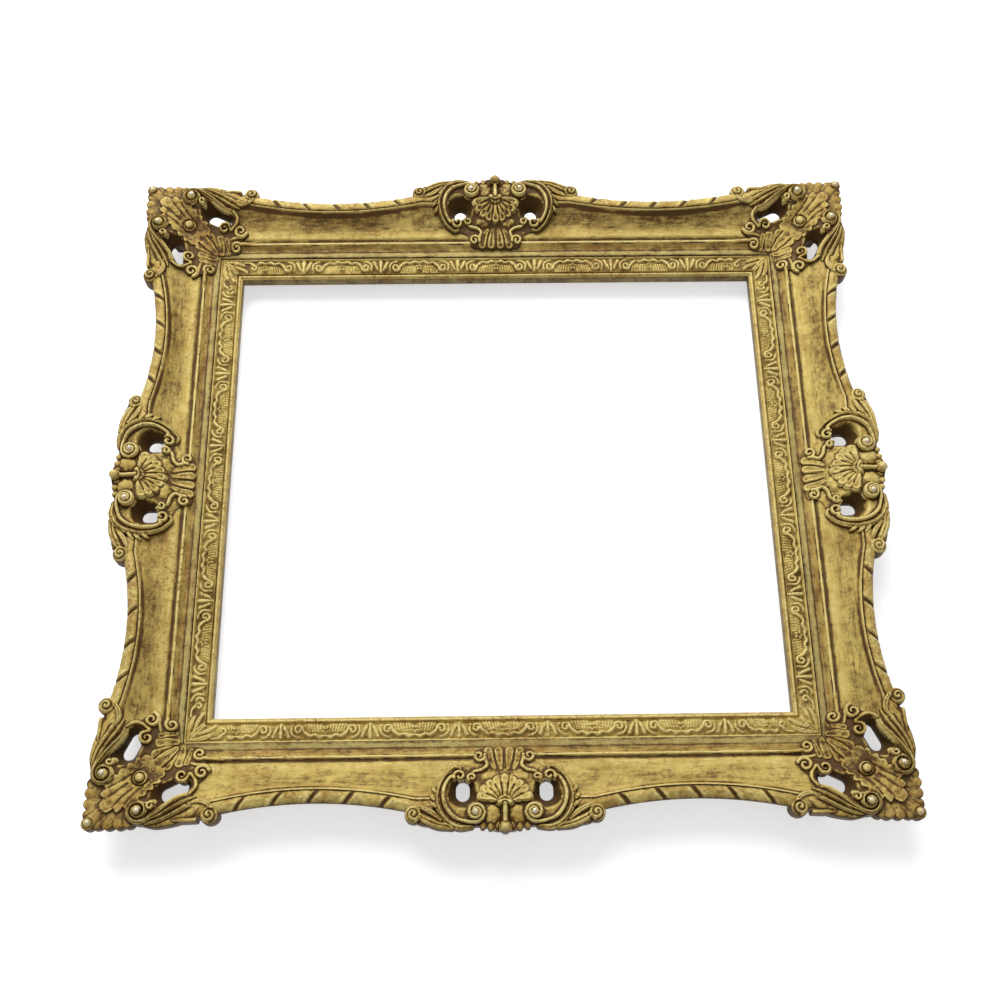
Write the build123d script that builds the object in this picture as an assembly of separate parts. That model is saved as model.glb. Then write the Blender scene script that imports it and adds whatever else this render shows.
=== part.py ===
from build123d import *
import math
import os

# The frame lies face up: X runs along its width, Y along its height, Z out of its face.
# The origin is the middle of the frame on the plane that its back rests on.
# Each side is drawn with X along the side from its middle and Y out from its sight edge.

# Sight opening and the rebate behind it that takes the picture
sight_width = 500.0
sight_height = 440.0
rebate_width = 6.0
rebate_roof = 14.0
hardware_ledge = 6.0

# Sight liner
sight_edge_height = 24.0
liner_face = 22.0
liner_flange = 6.0
flange_height = 20.0
sight_bead_start = 1.2
sight_bead_width = 3.4
sight_bead_rise = 1.5
band_start = 5.4
band_height = 26.2
band_rise = 0.9
border_bead_width = 2.0
border_bead_rise = 1.0
joint_gap = 0.2

# Main rail: fillet, hollow, ridge bead, groove, cove, lip, seat of the ribbon edge and back
fillet_end = 28.0
fillet_height = 28.0
ridge_start = 34.0
ridge_width = 3.6
ridge_base = 31.2
ridge_rise = 1.5
hollow_sag = 0.8
groove_width = 1.4
groove_depth = 0.6
cove_start = 41.4
cove_foot = 32.6
cove_sag = 2.6
lip_narrow = 64.4
lip_wide = 74.0
lip_height = 45.3
lip_width = 0.9
ribbon_step = 1.1
seat_width = 11.4
seat_drop = 4.0
shoulder_inset = 3.0
shoulder_drop = 6.0
rim_inset = 2.0
rim_start = 47.0

# Ribbon edge and its slanting cuts
ribbon_crown = 3.6
ribbon_margin = 0.4
ribbon_facets = 6
cut_pitch = 30.0
cut_width = 4.0
cut_depth = 1.3
cut_lean = 40.0
cut_length = 42.0

# Cartouches: their sloping face and their underside, as (distance out, height)
cartouche_start = 23.2
cartouche_end = 106.0
face_slope = [(cartouche_start, 31.0), (34.0, 35.2), (60.0, 43.6), (76.0, 49.0), (cartouche_end, 49.0)]
under_slope = [(cartouche_start, 24.0), (82.0, 28.0), (cartouche_end, 40.0)]
outline_steps = 36
scroll_steps = 15
dome_sides = 14
dome_shoulder = 0.8
dome_crown = 0.35
dome_shoulder_rise = 0.72
leaf_lift = 2.2
scroll_lift = 4.6
curl_rise = 5.0
curl_depth = 8.0
eye_radius = 5.4
eye_foot = 40.0
eye_top = 57.0
bud_radius = 8.0
bud_foot = 33.0
bud_top = 50.5

# Pierced wells: a bowl in the face over a neck, and a hollow in the back that lets the light through
well_neck = 32.0
bowl_depth = 15.0
bowl_flare = 34.0
hollow_height = 26.0
hollow_margin = 11.0
slot_steps = 6
corner_well = (25.0, 63.0)
corner_well_run = 13.0
corner_well_width = 13.6
corner_well_turn = 26.0
centre_well = (35.0, 66.5)
centre_well_run = 5.0
centre_well_width = 13.6
centre_well_turn = 90.0

# Corner cartouche, along and out from the sight corner
corner_eye = (50.5, 83.0)
corner_bud = (-7.2, 85.5)
corner_tip = 96.5
corner_boss = 53.0
corner_boss_radius = 6.0
corner_boss_top = 47.0
tip_lobe_radius = 5.6
tip_lobe_pitch = 10.5
tip_lobes = 4
tip_drop = 3.5
corner_ground = [
    (24, 22), (12, 33), (4, 38), (-4, 48), (6, 55), (30, 48), (44, 58), (38, 74), (16, 74), (-6, 79),
    (-14, 88), (4, 90), (30, 93), (48, 95), (60, 91), (76, 92), (92, 90), (86, 68), (56, 36),
]
corner_scroll = [(-7, 85), (12, 86), (32, 89), (48, 92), (58.5, 85), (54.5, 76.5), (46, 77.5)]
corner_scroll_widths = (5, 9, 4)

# Leaves of half a corner, as (start, end, width), and its curls, as (along, out, radius)
corner_leaves = [
    ((0, 82), (44, 80), 8),
    ((38, 38), (84, 84), 30),
    ((22, 22), (40, 40), 9),
    ((16, 24), (25, 43), 9),
]
corner_curls = [(18.8, 50.5, 5.0), (2.8, 48.2, 6.2), (7.5, 33.5, 4.6)]

# Centre cartouche, along and out from the middle of the sight edge
centre_eye = (24.1, 87.0)
centre_bud = (74.8, 88.0)
shell_hinge = 77.5
shell_radius = 23.5
shell_ribs = 9
shell_spread = 144.0
shell_rib_width = 6.2
shell_rib_root = 2.2
keel_width = 5.0
keel_end = 97.0
knob_out = 99.5
knob_radius = 4.4
knob_foot = 40.0
knob_top = 55.0
flute_width = 7.2
flute_pitch = 8.4
flute_start = 32.5
flute_end = 47.0
flutes = 4
palmette_eye_radius = 5.0
palmette_eye_top = 39.0
centre_ground = [
    (-6, 33), (16, 33), (26, 40), (46, 49), (57, 62), (60, 79), (72, 80), (80, 88), (68, 95), (52, 96),
    (34, 100), (16, 97), (-6, 99),
]
centre_scroll = [(27.5, 82), (20, 80.5), (17, 88), (25, 95), (39, 96), (51, 87), (54, 71), (48, 56), (40, 51)]
centre_scroll_widths = (3.5, 8, 4)

# Leaves and curls of half a centre
centre_leaves = [((50, 92), (76, 90), 8), ((8, 82), (13, 98), 11), ((6, 53), (19, 55), 8)]
centre_curls = [(27.5, 54.5, 4.2)]

# V-nails across the mitres
nail_leg = 8.0
nail_thickness = 1.0
nail_height = 9.0
rail_nail_places = [(34.0, hardware_ledge), (50.0, 0.0)]
liner_nail_place = 14.0
liner_nail_height = 7.0
nail_clearance = 0.1

# Brads through the liner and pins through the cartouches
brad_radius = 0.7
brad_head_radius = 1.5
brad_head_height = 0.8
brad_length = 30.0
brad_height = 10.0
brad_inset = 60.0
pin_radius = 0.7
pin_length = 17.0
pin_clearance = 0.1
wire_sides = 8

# Pins of half a cartouche, as (along, out, height of the top)
corner_pins = [(52.0, 58.0, 40.0), (66.0, 79.0, 46.0)]
centre_pins = [(12.5, 54.5, 38.0), (62.0, 78.0, 46.0)]

# Strap hangers on the back ledge of the upright rails
hanger_out = 36.5
hanger_along = 110.0
strap_width = 10.0
strap_length = 34.0
strap_thickness = 1.0
strap_screw_pitch = 16.0
strap_screw_start = 9.0
ring_wire = 2.4
ring_sides = 8
ring_width = 16.0
ring_reach = 13.0
ring_bend = 2.5
ring_clearance = 0.3

# Turn buttons on the back of the liners
button_out = 15.0
button_boss = 5.5
button_tip = 3.5
button_reach = 13.0
button_thickness = 1.5
button_clearance = 0.2

# Round-head screws of the hangers and buttons
screw_radius = 1.4
screw_head_radius = 2.9
screw_head_height = 1.5
screw_length = 9.0
screw_clearance = 0.1

half_width = sight_width / 2
half_height = sight_height / 2
blank_height = eye_top + lip_height
blank_reach = lip_wide + cartouche_end
mitre_reach = lip_wide + 2 * seat_width
rail_inner = liner_face + joint_gap
flange_side = liner_face + liner_flange
sides = {
    "top": (half_width, half_height, 0.0),
    "left": (half_height, half_width, 90.0),
    "bottom": (half_width, half_height, 180.0),
    "right": (half_height, half_width, 270.0),
}
side_ends = {
    "top": ("left", "right"),
    "left": ("bottom", "top"),
    "bottom": ("right", "left"),
    "right": ("top", "bottom"),
}
diagonal = Plane(origin=(0, 0, 0), z_dir=(1, -1, 0))


def bow(start, end, sag):
    """Arc from start to end, bowed to the left of its way by sag."""
    length = math.dist(start, end)
    middle_x = (start[0] + end[0]) / 2 - (end[1] - start[1]) / length * sag
    middle_y = (start[1] + end[1]) / 2 + (end[0] - start[0]) / length * sag
    return ThreePointArc(start, (middle_x, middle_y), end)


def section_at(section, along):
    """Stand a section, drawn as distance out and height, across the side."""
    return Plane(origin=(along, 0, 0), x_dir=(0, 1, 0), z_dir=(1, 0, 0)) * section


def mitred(body, half_run):
    """Cut a side's ends at 45 degrees through its sight corners."""
    far = half_run + mitre_reach
    plan = Polyline((-half_run, 0), (half_run, 0), (far, mitre_reach), (-far, mitre_reach), close=True)
    return body & extrude(make_face(plan), amount=blank_height)


def on_side(piece, side):
    """Place a piece drawn on a side's own axes."""
    _, across, angle = sides[side]
    return Rot(0, 0, angle) * Pos(0, across, 0) * piece


def on_corners(piece):
    """Four copies of a piece drawn from the top right sight corner, keyed by their place."""
    top_right = Pos(half_width, half_height, 0) * piece
    top_left = mirror(top_right, about=Plane.YZ)
    return {
        "top_right": top_right,
        "top_left": top_left,
        "bottom_left": mirror(top_left, about=Plane.XZ),
        "bottom_right": mirror(top_right, about=Plane.XZ),
    }


def both_ways(piece, plane):
    return piece + mirror(piece, about=plane)


def slot(centre, run, width, turn):
    """Slot with round ends, each drawn in short straight steps."""
    edge = []
    for way, start in ((1, -90), (-1, 90)):
        for step in range(slot_steps + 1):
            angle = math.radians(start + 180 * step / slot_steps)
            edge.append((way * run / 2 + width / 2 * math.cos(angle), width / 2 * math.sin(angle)))
    return Pos(*centre) * Rot(0, 0, turn) * make_face(Polyline(*edge, close=True))


def well(centre, run, width, turn):
    """Pierced opening: a bowl in the face, a neck, and a hollow behind them that is open to the outside."""
    neck = slot(centre, run, width, turn)
    mouth = slot(centre, run, width + 2 * bowl_depth * math.tan(math.radians(bowl_flare)), turn)
    reach = width / 2 + hollow_margin
    side = reach + run / 2 * math.cos(math.radians(turn))
    way_out = Pos(centre[0], centre[1] + blank_reach / 2) * Rectangle(2 * side, blank_reach)
    body = extrude(neck, amount=well_neck)
    body += Pos(0, 0, well_neck) * extrude(neck, amount=bowl_depth, taper=-bowl_flare)
    body += Pos(0, 0, well_neck + bowl_depth) * extrude(mouth, amount=blank_height)
    return body + extrude(slot(centre, run, 2 * reach, turn) + way_out, amount=hollow_height)


def corner_well_cut():
    return well(corner_well, corner_well_run, corner_well_width, corner_well_turn)


def centre_well_cut():
    return well(centre_well, centre_well_run, centre_well_width, centre_well_turn)


def liner_section():
    """Sight bead, ornament band and border bead over a rebated back with a flange."""
    bead_end = sight_bead_start + sight_bead_width
    border_start = liner_face - border_bead_width
    outline = Polyline((0, rebate_roof), (0, sight_edge_height), (sight_bead_start, sight_edge_height))
    outline += bow((sight_bead_start, sight_edge_height), (bead_end, sight_edge_height), sight_bead_rise)
    outline += Polyline((bead_end, sight_edge_height), (band_start, band_height))
    outline += bow((band_start, band_height), (border_start, band_height), band_rise)
    outline += bow((border_start, band_height), (liner_face, band_height), border_bead_rise)
    outline += Polyline(
        (liner_face, band_height),
        (liner_face, flange_height),
        (flange_side, flange_height),
        (flange_side, hardware_ledge),
        (rebate_width, hardware_ledge),
        (rebate_width, rebate_roof),
        (0, rebate_roof),
    )
    return make_face(outline)


def liner(half_run):
    far = half_run + flange_side
    return mitred(extrude(section_at(liner_section(), -far), amount=2 * far), half_run)


def ribbon_seat(lip):
    """Top and foot of the slope that a ribbon edge sits on."""
    top = (lip + lip_width, lip_height - ribbon_step)
    foot = (lip + seat_width, lip_height - seat_drop)
    return top, foot


def rail_section(lip):
    """Moulding from the liner out to the lip, the ribbon's seat and the stepped back."""
    seat_top, seat_foot = ribbon_seat(lip)
    ridge_end = ridge_start + ridge_width
    groove_floor = ridge_base - groove_depth
    inner = flange_side + joint_gap
    outline = Polyline(
        (inner, hardware_ledge),
        (inner, flange_height),
        (rail_inner, flange_height),
        (rail_inner, fillet_height),
        (fillet_end, fillet_height),
    )
    outline += bow((fillet_end, fillet_height), (ridge_start, ridge_base), -hollow_sag)
    outline += bow((ridge_start, ridge_base), (ridge_end, ridge_base), ridge_rise)
    outline += Polyline(
        (ridge_end, ridge_base),
        (ridge_end + groove_width, groove_floor),
        (cove_start, cove_foot),
    )
    outline += bow((cove_start, cove_foot), (lip, lip_height), -cove_sag)
    outline += Polyline(
        (lip, lip_height),
        (lip + lip_width, lip_height),
        seat_top,
        seat_foot,
        (seat_foot[0] - shoulder_inset, seat_foot[1] - shoulder_drop),
        (lip - rim_inset, 0),
        (rim_start, 0),
        (rim_start, hardware_ledge),
        (inner, hardware_ledge),
    )
    return make_face(outline)


def ribbon_section(lip, crown, margin):
    """Half-round edge on its sloping seat, in short flat steps."""
    top, foot = ribbon_seat(lip)
    slope = Vector(foot[0] - top[0], foot[1] - top[1]).normalized() * margin
    start = (top[0] + slope.X, top[1] + slope.Y)
    end = (foot[0] - slope.X, foot[1] - slope.Y)
    edge = bow(start, end, crown)
    corners = [edge @ (step / ribbon_facets) for step in range(ribbon_facets + 1)]
    return make_face(Polyline(*corners, close=True))


def swept(narrow, wide, half_run):
    """Carry a section along the sweep, from the centre's bud to the corner's bud."""
    start = centre_bud[0]
    end = half_run + corner_bud[0]
    places = [(wide, start), (narrow, (start + end) / 2), (wide, end)]
    return loft([section_at(section, along) for section, along in places])


def rail(half_run):
    wide = rail_section(lip_wide)
    half = swept(rail_section(lip_narrow), wide, half_run)
    half += extrude(section_at(wide, half_run + corner_bud[0]), amount=mitre_reach)
    body = extrude(section_at(wide, -centre_bud[0]), amount=2 * centre_bud[0])
    body = mitred(body + both_ways(half, Plane.YZ), half_run)
    wells = Pos(half_run, 0, 0) * corner_well_cut() + centre_well_cut()
    return body - both_ways(wells, Plane.YZ)


def ribbon(half_run):
    """Ribbon edge of the sweep on the side's right half. Its cuts lean out, away from the side's middle."""
    core_crown = ribbon_crown - cut_depth
    core_margin = ribbon_margin + cut_depth
    full = swept(
        ribbon_section(lip_narrow, ribbon_crown, ribbon_margin),
        ribbon_section(lip_wide, ribbon_crown, ribbon_margin),
        half_run,
    )
    core = swept(
        ribbon_section(lip_narrow, core_crown, core_margin),
        ribbon_section(lip_wide, core_crown, core_margin),
        half_run,
    )
    start = centre_bud[0]
    end = half_run + corner_bud[0]
    count = int((end - start) / cut_pitch)
    middle = (start + end) / 2
    for index in range(count):
        along = middle + (index - (count - 1) / 2) * cut_pitch
        blade = Box(cut_width, cut_length, blank_height)
        full -= Pos(along, lip_wide, lip_height) * Rot(0, 0, -cut_lean) * blade
    return core + full


def relief(outline, lift):
    """Raise a plan outline to the cartouche's sloping face, lifted a little."""
    slope = [(out, height + lift) for out, height in face_slope]
    profile = Polyline(*slope, *reversed(under_slope), close=True)
    form = extrude(Plane.YZ * make_face(profile), amount=blank_reach, both=True)
    return extrude(outline, amount=blank_height) & form


def rounded(points):
    """Face inside a smooth closed curve through points, in short straight steps."""
    line = Spline(*points, periodic=True)
    return make_face(Polyline(*[line @ (step / outline_steps) for step in range(outline_steps)], close=True))


def scroll(points, start_width, widest, end_width):
    """Band along a smooth curve through points, swelling and narrowing again, in short straight steps."""
    line = Spline(*points)
    left = []
    right = []
    for step in range(scroll_steps + 1):
        place = step / scroll_steps
        way = line % place
        swell = math.sin(math.pi * place)
        width = start_width + (end_width - start_width) * place
        width += (widest - width) * swell
        aside = Vector(-way.Y, way.X) * (width / 2)
        left.append(line @ place + aside)
        right.append(line @ place - aside)
    return make_face(Polyline(*left, *reversed(right), close=True))


def dome(place, radius, foot, top):
    """Rounded boss standing from foot up to top."""
    levels = [(radius, 0.0), (radius * dome_shoulder, dome_shoulder_rise), (radius * dome_crown, 1.0)]
    rings = []
    for ring_radius, rise in levels:
        height = foot + (top - foot) * rise
        rings.append(Pos(place[0], place[1], height) * RegularPolygon(ring_radius, dome_sides))
    return loft(rings, ruled=True)


def curl(along, out, radius):
    """Small coiled end of a scroll, standing off the sloping face."""
    slope = zip(face_slope, face_slope[1:])
    low, high = next(pair for pair in slope if pair[0][0] <= out <= pair[1][0])
    face = low[1] + (high[1] - low[1]) * (out - low[0]) / (high[0] - low[0])
    return dome((along, out), radius, face - curl_depth, face + curl_rise - leaf_lift)


def leaf(start, end, width):
    """Pointed oval from start to end."""
    side = width / 2
    return make_face(bow(start, end, side) + bow(end, start, side))


def corner_half():
    """Half of the corner cartouche, on the top rail's side of the mitre."""
    body = relief(rounded(corner_ground), 0.0)
    for index in range(tip_lobes):
        along = corner_tip - tip_lobe_radius - index * tip_lobe_pitch
        lobe = Pos(along, corner_tip - tip_lobe_radius) * RegularPolygon(tip_lobe_radius, dome_sides)
        body += relief(lobe, -tip_drop)
    body += relief(scroll(corner_scroll, *corner_scroll_widths), scroll_lift)
    for start, end, width in corner_leaves:
        body += relief(leaf(start, end, width), leaf_lift)
    body -= corner_well_cut()
    for place in corner_curls:
        body += curl(*place)
    body += dome(corner_eye, eye_radius, eye_foot, eye_top)
    body += dome(corner_bud, bud_radius, bud_foot, bud_top)
    far = blank_reach
    half_plane = make_face(Polyline((-far, -far), (far, far), (-far, far), close=True))
    return body & extrude(half_plane, amount=blank_height)


def corner_cartouche():
    body = both_ways(corner_half(), diagonal)
    return body + dome((corner_boss, corner_boss), corner_boss_radius, cove_foot, corner_boss_top)


def shell():
    """Fan of tapering ribs that opens from its hinge towards the picture."""
    root = shell_rib_root / 2
    tip = shell_rib_width / 2
    end = shell_radius - tip
    edge = [(-root, 0), (-tip, -end), (0, -shell_radius), (tip, -end), (root, 0)]
    rib = make_face(Polyline(*edge, close=True))
    ribs = []
    for index in range(shell_ribs):
        turn = (index / (shell_ribs - 1) - 0.5) * shell_spread
        ribs.append(relief(Pos(0, shell_hinge) * Rot(0, 0, turn) * rib, scroll_lift))
    return ribs


def centre_half():
    """Half of the centre cartouche, on the right of its keel."""
    body = relief(rounded(centre_ground), 0.0)
    body += relief(scroll(centre_scroll, *centre_scroll_widths), scroll_lift)
    for start, end, width in centre_leaves:
        body += relief(leaf(start, end, width), leaf_lift)
    body -= centre_well_cut()
    for place in centre_curls:
        body += curl(*place)
    body += dome(centre_eye, eye_radius, eye_foot, eye_top)
    body += dome(centre_bud, bud_radius, bud_foot, bud_top)
    palmette_eye = (flute_pitch * flutes / 2 + palmette_eye_radius, flute_start + palmette_eye_radius)
    body += dome(palmette_eye, palmette_eye_radius, fillet_height, palmette_eye_top)
    far = blank_reach
    half_plane = make_face(Polyline((0, 0), (far, 0), (far, far), (0, far), close=True))
    return body & extrude(half_plane, amount=blank_height)


def centre_cartouche():
    body = both_ways(centre_half(), Plane.YZ)
    for rib in shell():
        body += rib
    keel = Pos(0, (shell_hinge + keel_end) / 2) * Rectangle(keel_width, keel_end - shell_hinge)
    body += relief(keel, scroll_lift)
    for index in range(flutes):
        along = (index - (flutes - 1) / 2) * flute_pitch
        body += relief(leaf((along, flute_start), (along, flute_end), flute_width), leaf_lift)
    return body + dome((0, knob_out), knob_radius, knob_foot, knob_top)


def rod(start, end, radius):
    """Round bar between two points."""
    way = Vector(*end) - Vector(*start)
    return extrude(Plane(origin=start, z_dir=way) * Circle(radius), amount=way.length)


def wire(start, end, radius):
    """Thin drawn wire between two points."""
    way = Vector(*end) - Vector(*start)
    return extrude(Plane(origin=start, z_dir=way) * RegularPolygon(radius, wire_sides), amount=way.length)


def mitre_nail(place, foot, height, clearance):
    """V-nail that straddles a mitre, driven up from foot."""
    near = place - clearance
    inner = place + nail_thickness + clearance
    end = place + nail_leg + clearance
    edge = [(near, near), (end, near), (end, inner), (inner, inner), (inner, end), (near, end)]
    plan = make_face(Polyline(*edge, close=True))
    return Pos(0, 0, foot) * extrude(plan, amount=height + clearance)


def rail_nails(clearance):
    return [mitre_nail(place, foot, nail_height, clearance) for place, foot in rail_nail_places]


def liner_nails(clearance):
    return [mitre_nail(liner_nail_place, hardware_ledge, liner_nail_height, clearance)]


def brads(half_run, clearance):
    """Two brads of a side, from the rebate's wall through the liner into the rail."""
    pair = []
    for along in (brad_inset - half_run, half_run - brad_inset):
        start = (along, rebate_width, brad_height)
        neck = (along, rebate_width + brad_head_height + clearance, brad_height)
        point = (along, rebate_width + brad_length + clearance, brad_height)
        head = wire(start, neck, brad_head_radius + clearance)
        pair.append(head + wire(start, point, brad_radius + clearance))
    return pair


def pins(places, clearance):
    """Upright pins that hold a cartouche on the rails, as (along, out, top) places."""
    made = []
    for along, out, top in places:
        start = (along, out, top - pin_length - clearance)
        made.append(wire(start, (along, out, top + clearance), pin_radius + clearance))
    return made


def corner_pin_set(clearance):
    half = pins(corner_pins, clearance)
    return half + [mirror(pin, about=diagonal) for pin in half]


def centre_pin_set(clearance):
    half = pins(centre_pins, clearance)
    return half + [mirror(pin, about=Plane.YZ) for pin in half]


def screw(place, head_foot):
    """Round-head screw that points up into the back, with its head's foot at head_foot."""
    along, out = place
    neck = head_foot + screw_head_height
    head = rod((along, out, head_foot), (along, out, neck), screw_head_radius)
    return head + rod((along, out, neck), (along, out, neck + screw_length), screw_radius)


def screw_hole(place):
    """Hole for a screw's shank, from below the back up past its point."""
    along, out = place
    return rod((along, out, 0), (along, out, hardware_ledge + screw_length), screw_radius + screw_clearance)


def take_away(body, cuts):
    for cut in cuts:
        body -= cut
    return body


def at_both_ends(pieces, half_run):
    """Copies, at both ends of a side, of pieces drawn from a sight corner."""
    right = [Pos(half_run, 0, 0) * piece for piece in pieces]
    return right + [mirror(piece, about=Plane.YZ) for piece in right]


def strap_screws():
    """Places of a hanger's screws on the right upright rail, seen from the face."""
    first = hanger_along - strap_screw_start
    out = half_width + hanger_out
    return [(out, first), (out, first - strap_screw_pitch)]


def hanger_strap():
    """Folded strap with a sleeve round the ring's bar."""
    sleeve_radius = ring_wire / 2 + ring_clearance + strap_thickness
    axis_height = hardware_ledge - sleeve_radius
    out = half_width + hanger_out
    plate = Pos(out, hanger_along - strap_length / 2, hardware_ledge - strap_thickness / 2)
    body = plate * Box(strap_width, strap_length, strap_thickness)
    start = (out - strap_width / 2, hanger_along, axis_height)
    end = (out + strap_width / 2, hanger_along, axis_height)
    body += rod(start, end, sleeve_radius)
    body -= rod(start, end, ring_wire / 2 + ring_clearance)
    return take_away(body, [screw_hole(place) for place in strap_screws()])


def hanger_ring():
    """D-ring: a bar in the strap's sleeve, two small bends, two arms and a half circle."""
    section = RegularPolygon(ring_wire / 2, ring_sides)
    bar = ring_width - 2 * ring_bend
    arm = ring_reach - ring_bend - ring_width / 2
    right = ring_width / 2
    body = extrude(Plane(origin=(-bar / 2, 0, 0), z_dir=(1, 0, 0)) * section, amount=bar)
    bend = Plane(origin=(bar / 2, 0, 0), z_dir=(1, 0, 0)) * section
    half = revolve(bend, Axis((bar / 2, ring_bend, 0), (0, 0, 1)), 90)
    half += extrude(Plane(origin=(right, ring_bend, 0), z_dir=(0, 1, 0)) * section, amount=arm)
    top = Plane(origin=(right, ring_bend + arm, 0), z_dir=(0, 1, 0)) * section
    half += revolve(top, Axis((0, ring_bend + arm, 0), (0, 0, 1)), 90)
    axis_height = hardware_ledge - ring_wire / 2 - ring_clearance - strap_thickness
    return Pos(half_width + hanger_out, hanger_along, axis_height) * (body + both_ways(half, Plane.YZ))


def turn_button():
    """Flat button that turns on its screw over the rebate, turned aside while the frame is empty."""
    tip_place = button_reach - button_tip
    body = Circle(button_boss) + Pos(tip_place, 0) * Circle(button_tip)
    body += make_hull(body.edges())
    body -= Circle(screw_radius + button_clearance)
    foot = hardware_ledge - button_clearance - button_thickness
    return Pos(0, button_out, foot) * extrude(body, amount=button_thickness)


def turn_button_screw():
    foot = hardware_ledge - 2 * button_clearance - button_thickness - screw_head_height
    return screw((0, button_out), foot)


def hanger_screws():
    head_foot = hardware_ledge - strap_thickness - screw_head_height
    return [screw(place, head_foot) for place in strap_screws()]


def on_both_uprights(pieces):
    """Pieces drawn on the right upright, and their mirror images on the left one."""
    return pieces + [mirror(piece, about=Plane.YZ) for piece in pieces]


bare_rails = {half_run: rail(half_run) for half_run in (half_width, half_height)}

# Cartouches, their backs shaped to the rails that carry them
corner = corner_cartouche() - Pos(-half_width, 0, 0) * bare_rails[half_width]
corner -= mirror(Pos(-half_height, 0, 0) * bare_rails[half_height], about=diagonal)
corner = take_away(corner, corner_pin_set(pin_clearance))
centre = take_away(centre_cartouche() - bare_rails[half_width], centre_pin_set(pin_clearance))

# Rail, liner and right-hand ribbon edge of a long and of a short side, with their fasteners' holes
rails = {}
liners = {}
ribbons = {}
for half_run, end_piece in ((half_height, mirror(corner, about=diagonal)), (half_width, corner)):
    rail_cuts = brads(half_run, pin_clearance) + centre_pin_set(pin_clearance)
    rail_cuts += at_both_ends(rail_nails(nail_clearance) + corner_pin_set(pin_clearance), half_run)
    liner_cuts = brads(half_run, pin_clearance) + [screw_hole((0, button_out))]
    liner_cuts += at_both_ends(liner_nails(nail_clearance), half_run)
    rails[half_run] = take_away(bare_rails[half_run], rail_cuts)
    liners[half_run] = take_away(liner(half_run), liner_cuts)
    ribbons[half_run] = ribbon(half_run) - centre - Pos(half_run, 0, 0) * end_piece

nodes = {}
for place, piece in on_corners(corner).items():
    nodes[f"corner_cartouche_{place}"] = piece
for side, (half_run, across, angle) in sides.items():
    nodes[f"rail_{side}"] = on_side(rails[half_run], side)
    nodes[f"liner_{side}"] = on_side(liners[half_run], side)
    nodes[f"centre_cartouche_{side}"] = on_side(centre, side)
    nodes[f"turn_button_{side}"] = on_side(turn_button(), side)
    before, after = side_ends[side]
    nodes[f"ribbon_{side}_{after}"] = on_side(ribbons[half_run], side)
    nodes[f"ribbon_{side}_{before}"] = on_side(mirror(ribbons[half_run], about=Plane.YZ), side)

# Strap hangers, drawn on the right upright and mirrored to the left one
screw_cuts = [screw_hole(place) for place in strap_screws()]
nodes["rail_right"] = take_away(nodes["rail_right"], screw_cuts)
nodes["rail_left"] = mirror(nodes["rail_right"], about=Plane.YZ)
for name, piece in (("hanger_strap", hanger_strap()), ("hanger_ring", hanger_ring())):
    nodes[f"{name}_right"] = piece
    nodes[f"{name}_left"] = mirror(piece, about=Plane.YZ)

# Groups of like fasteners
groups = {"liner_brads": [], "turn_button_screws": [], "rail_nails": [], "liner_nails": []}
groups["cartouche_pins"] = []
at_corners = {"rail_nails": rail_nails(0), "liner_nails": liner_nails(0)}
at_corners["cartouche_pins"] = corner_pin_set(0)
for name, pieces in at_corners.items():
    for piece in pieces:
        groups[name] += on_corners(piece).values()
for side, (half_run, across, angle) in sides.items():
    groups["liner_brads"] += [on_side(piece, side) for piece in brads(half_run, 0)]
    groups["cartouche_pins"] += [on_side(piece, side) for piece in centre_pin_set(0)]
    groups["turn_button_screws"].append(on_side(turn_button_screw(), side))
groups["hanger_screws"] = on_both_uprights(hanger_screws())
for name, pieces in groups.items():
    nodes[name] = Compound(children=[piece.solid() for piece in pieces])

os.makedirs("parts", exist_ok=True)
for name, piece in nodes.items():
    export_step(piece, f"parts/{name}.step")
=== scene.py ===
import math

import bpy
import numpy as np
from mathutils import Matrix, Vector


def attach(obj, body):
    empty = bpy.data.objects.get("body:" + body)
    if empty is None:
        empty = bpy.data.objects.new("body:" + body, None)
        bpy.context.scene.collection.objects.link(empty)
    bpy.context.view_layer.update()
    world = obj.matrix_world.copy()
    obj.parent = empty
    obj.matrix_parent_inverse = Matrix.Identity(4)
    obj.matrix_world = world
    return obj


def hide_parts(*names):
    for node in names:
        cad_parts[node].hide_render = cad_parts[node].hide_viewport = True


# Dresses the carved and gilded picture frame. The drawing functions work in millimetres, in the axes of
# one side (along it from its middle, out from its sight edge) or of one corner (from the sight corner).

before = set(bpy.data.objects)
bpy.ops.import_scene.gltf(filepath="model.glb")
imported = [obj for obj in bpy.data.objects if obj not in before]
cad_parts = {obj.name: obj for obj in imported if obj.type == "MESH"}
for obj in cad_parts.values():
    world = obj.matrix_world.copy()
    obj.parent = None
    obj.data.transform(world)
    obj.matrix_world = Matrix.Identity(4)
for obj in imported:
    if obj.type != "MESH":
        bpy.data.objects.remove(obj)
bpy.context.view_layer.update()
MM = 0.001

# Frame
HALF_WIDTH = 250.0
HALF_HEIGHT = 220.0
SIDES = {"top": (HALF_WIDTH, HALF_HEIGHT, 0), "left": (HALF_HEIGHT, HALF_WIDTH, 90),
         "bottom": (HALF_WIDTH, HALF_HEIGHT, 180), "right": (HALF_HEIGHT, HALF_WIDTH, 270)}
CORNERS = {"top_right": (1, 1), "top_left": (-1, 1), "bottom_left": (-1, -1), "bottom_right": (1, -1)}
RIBBON_ENDS = {"top": ("left", "right"), "left": ("bottom", "top"), "bottom": ("right", "left"),
               "right": ("top", "bottom")}

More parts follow.
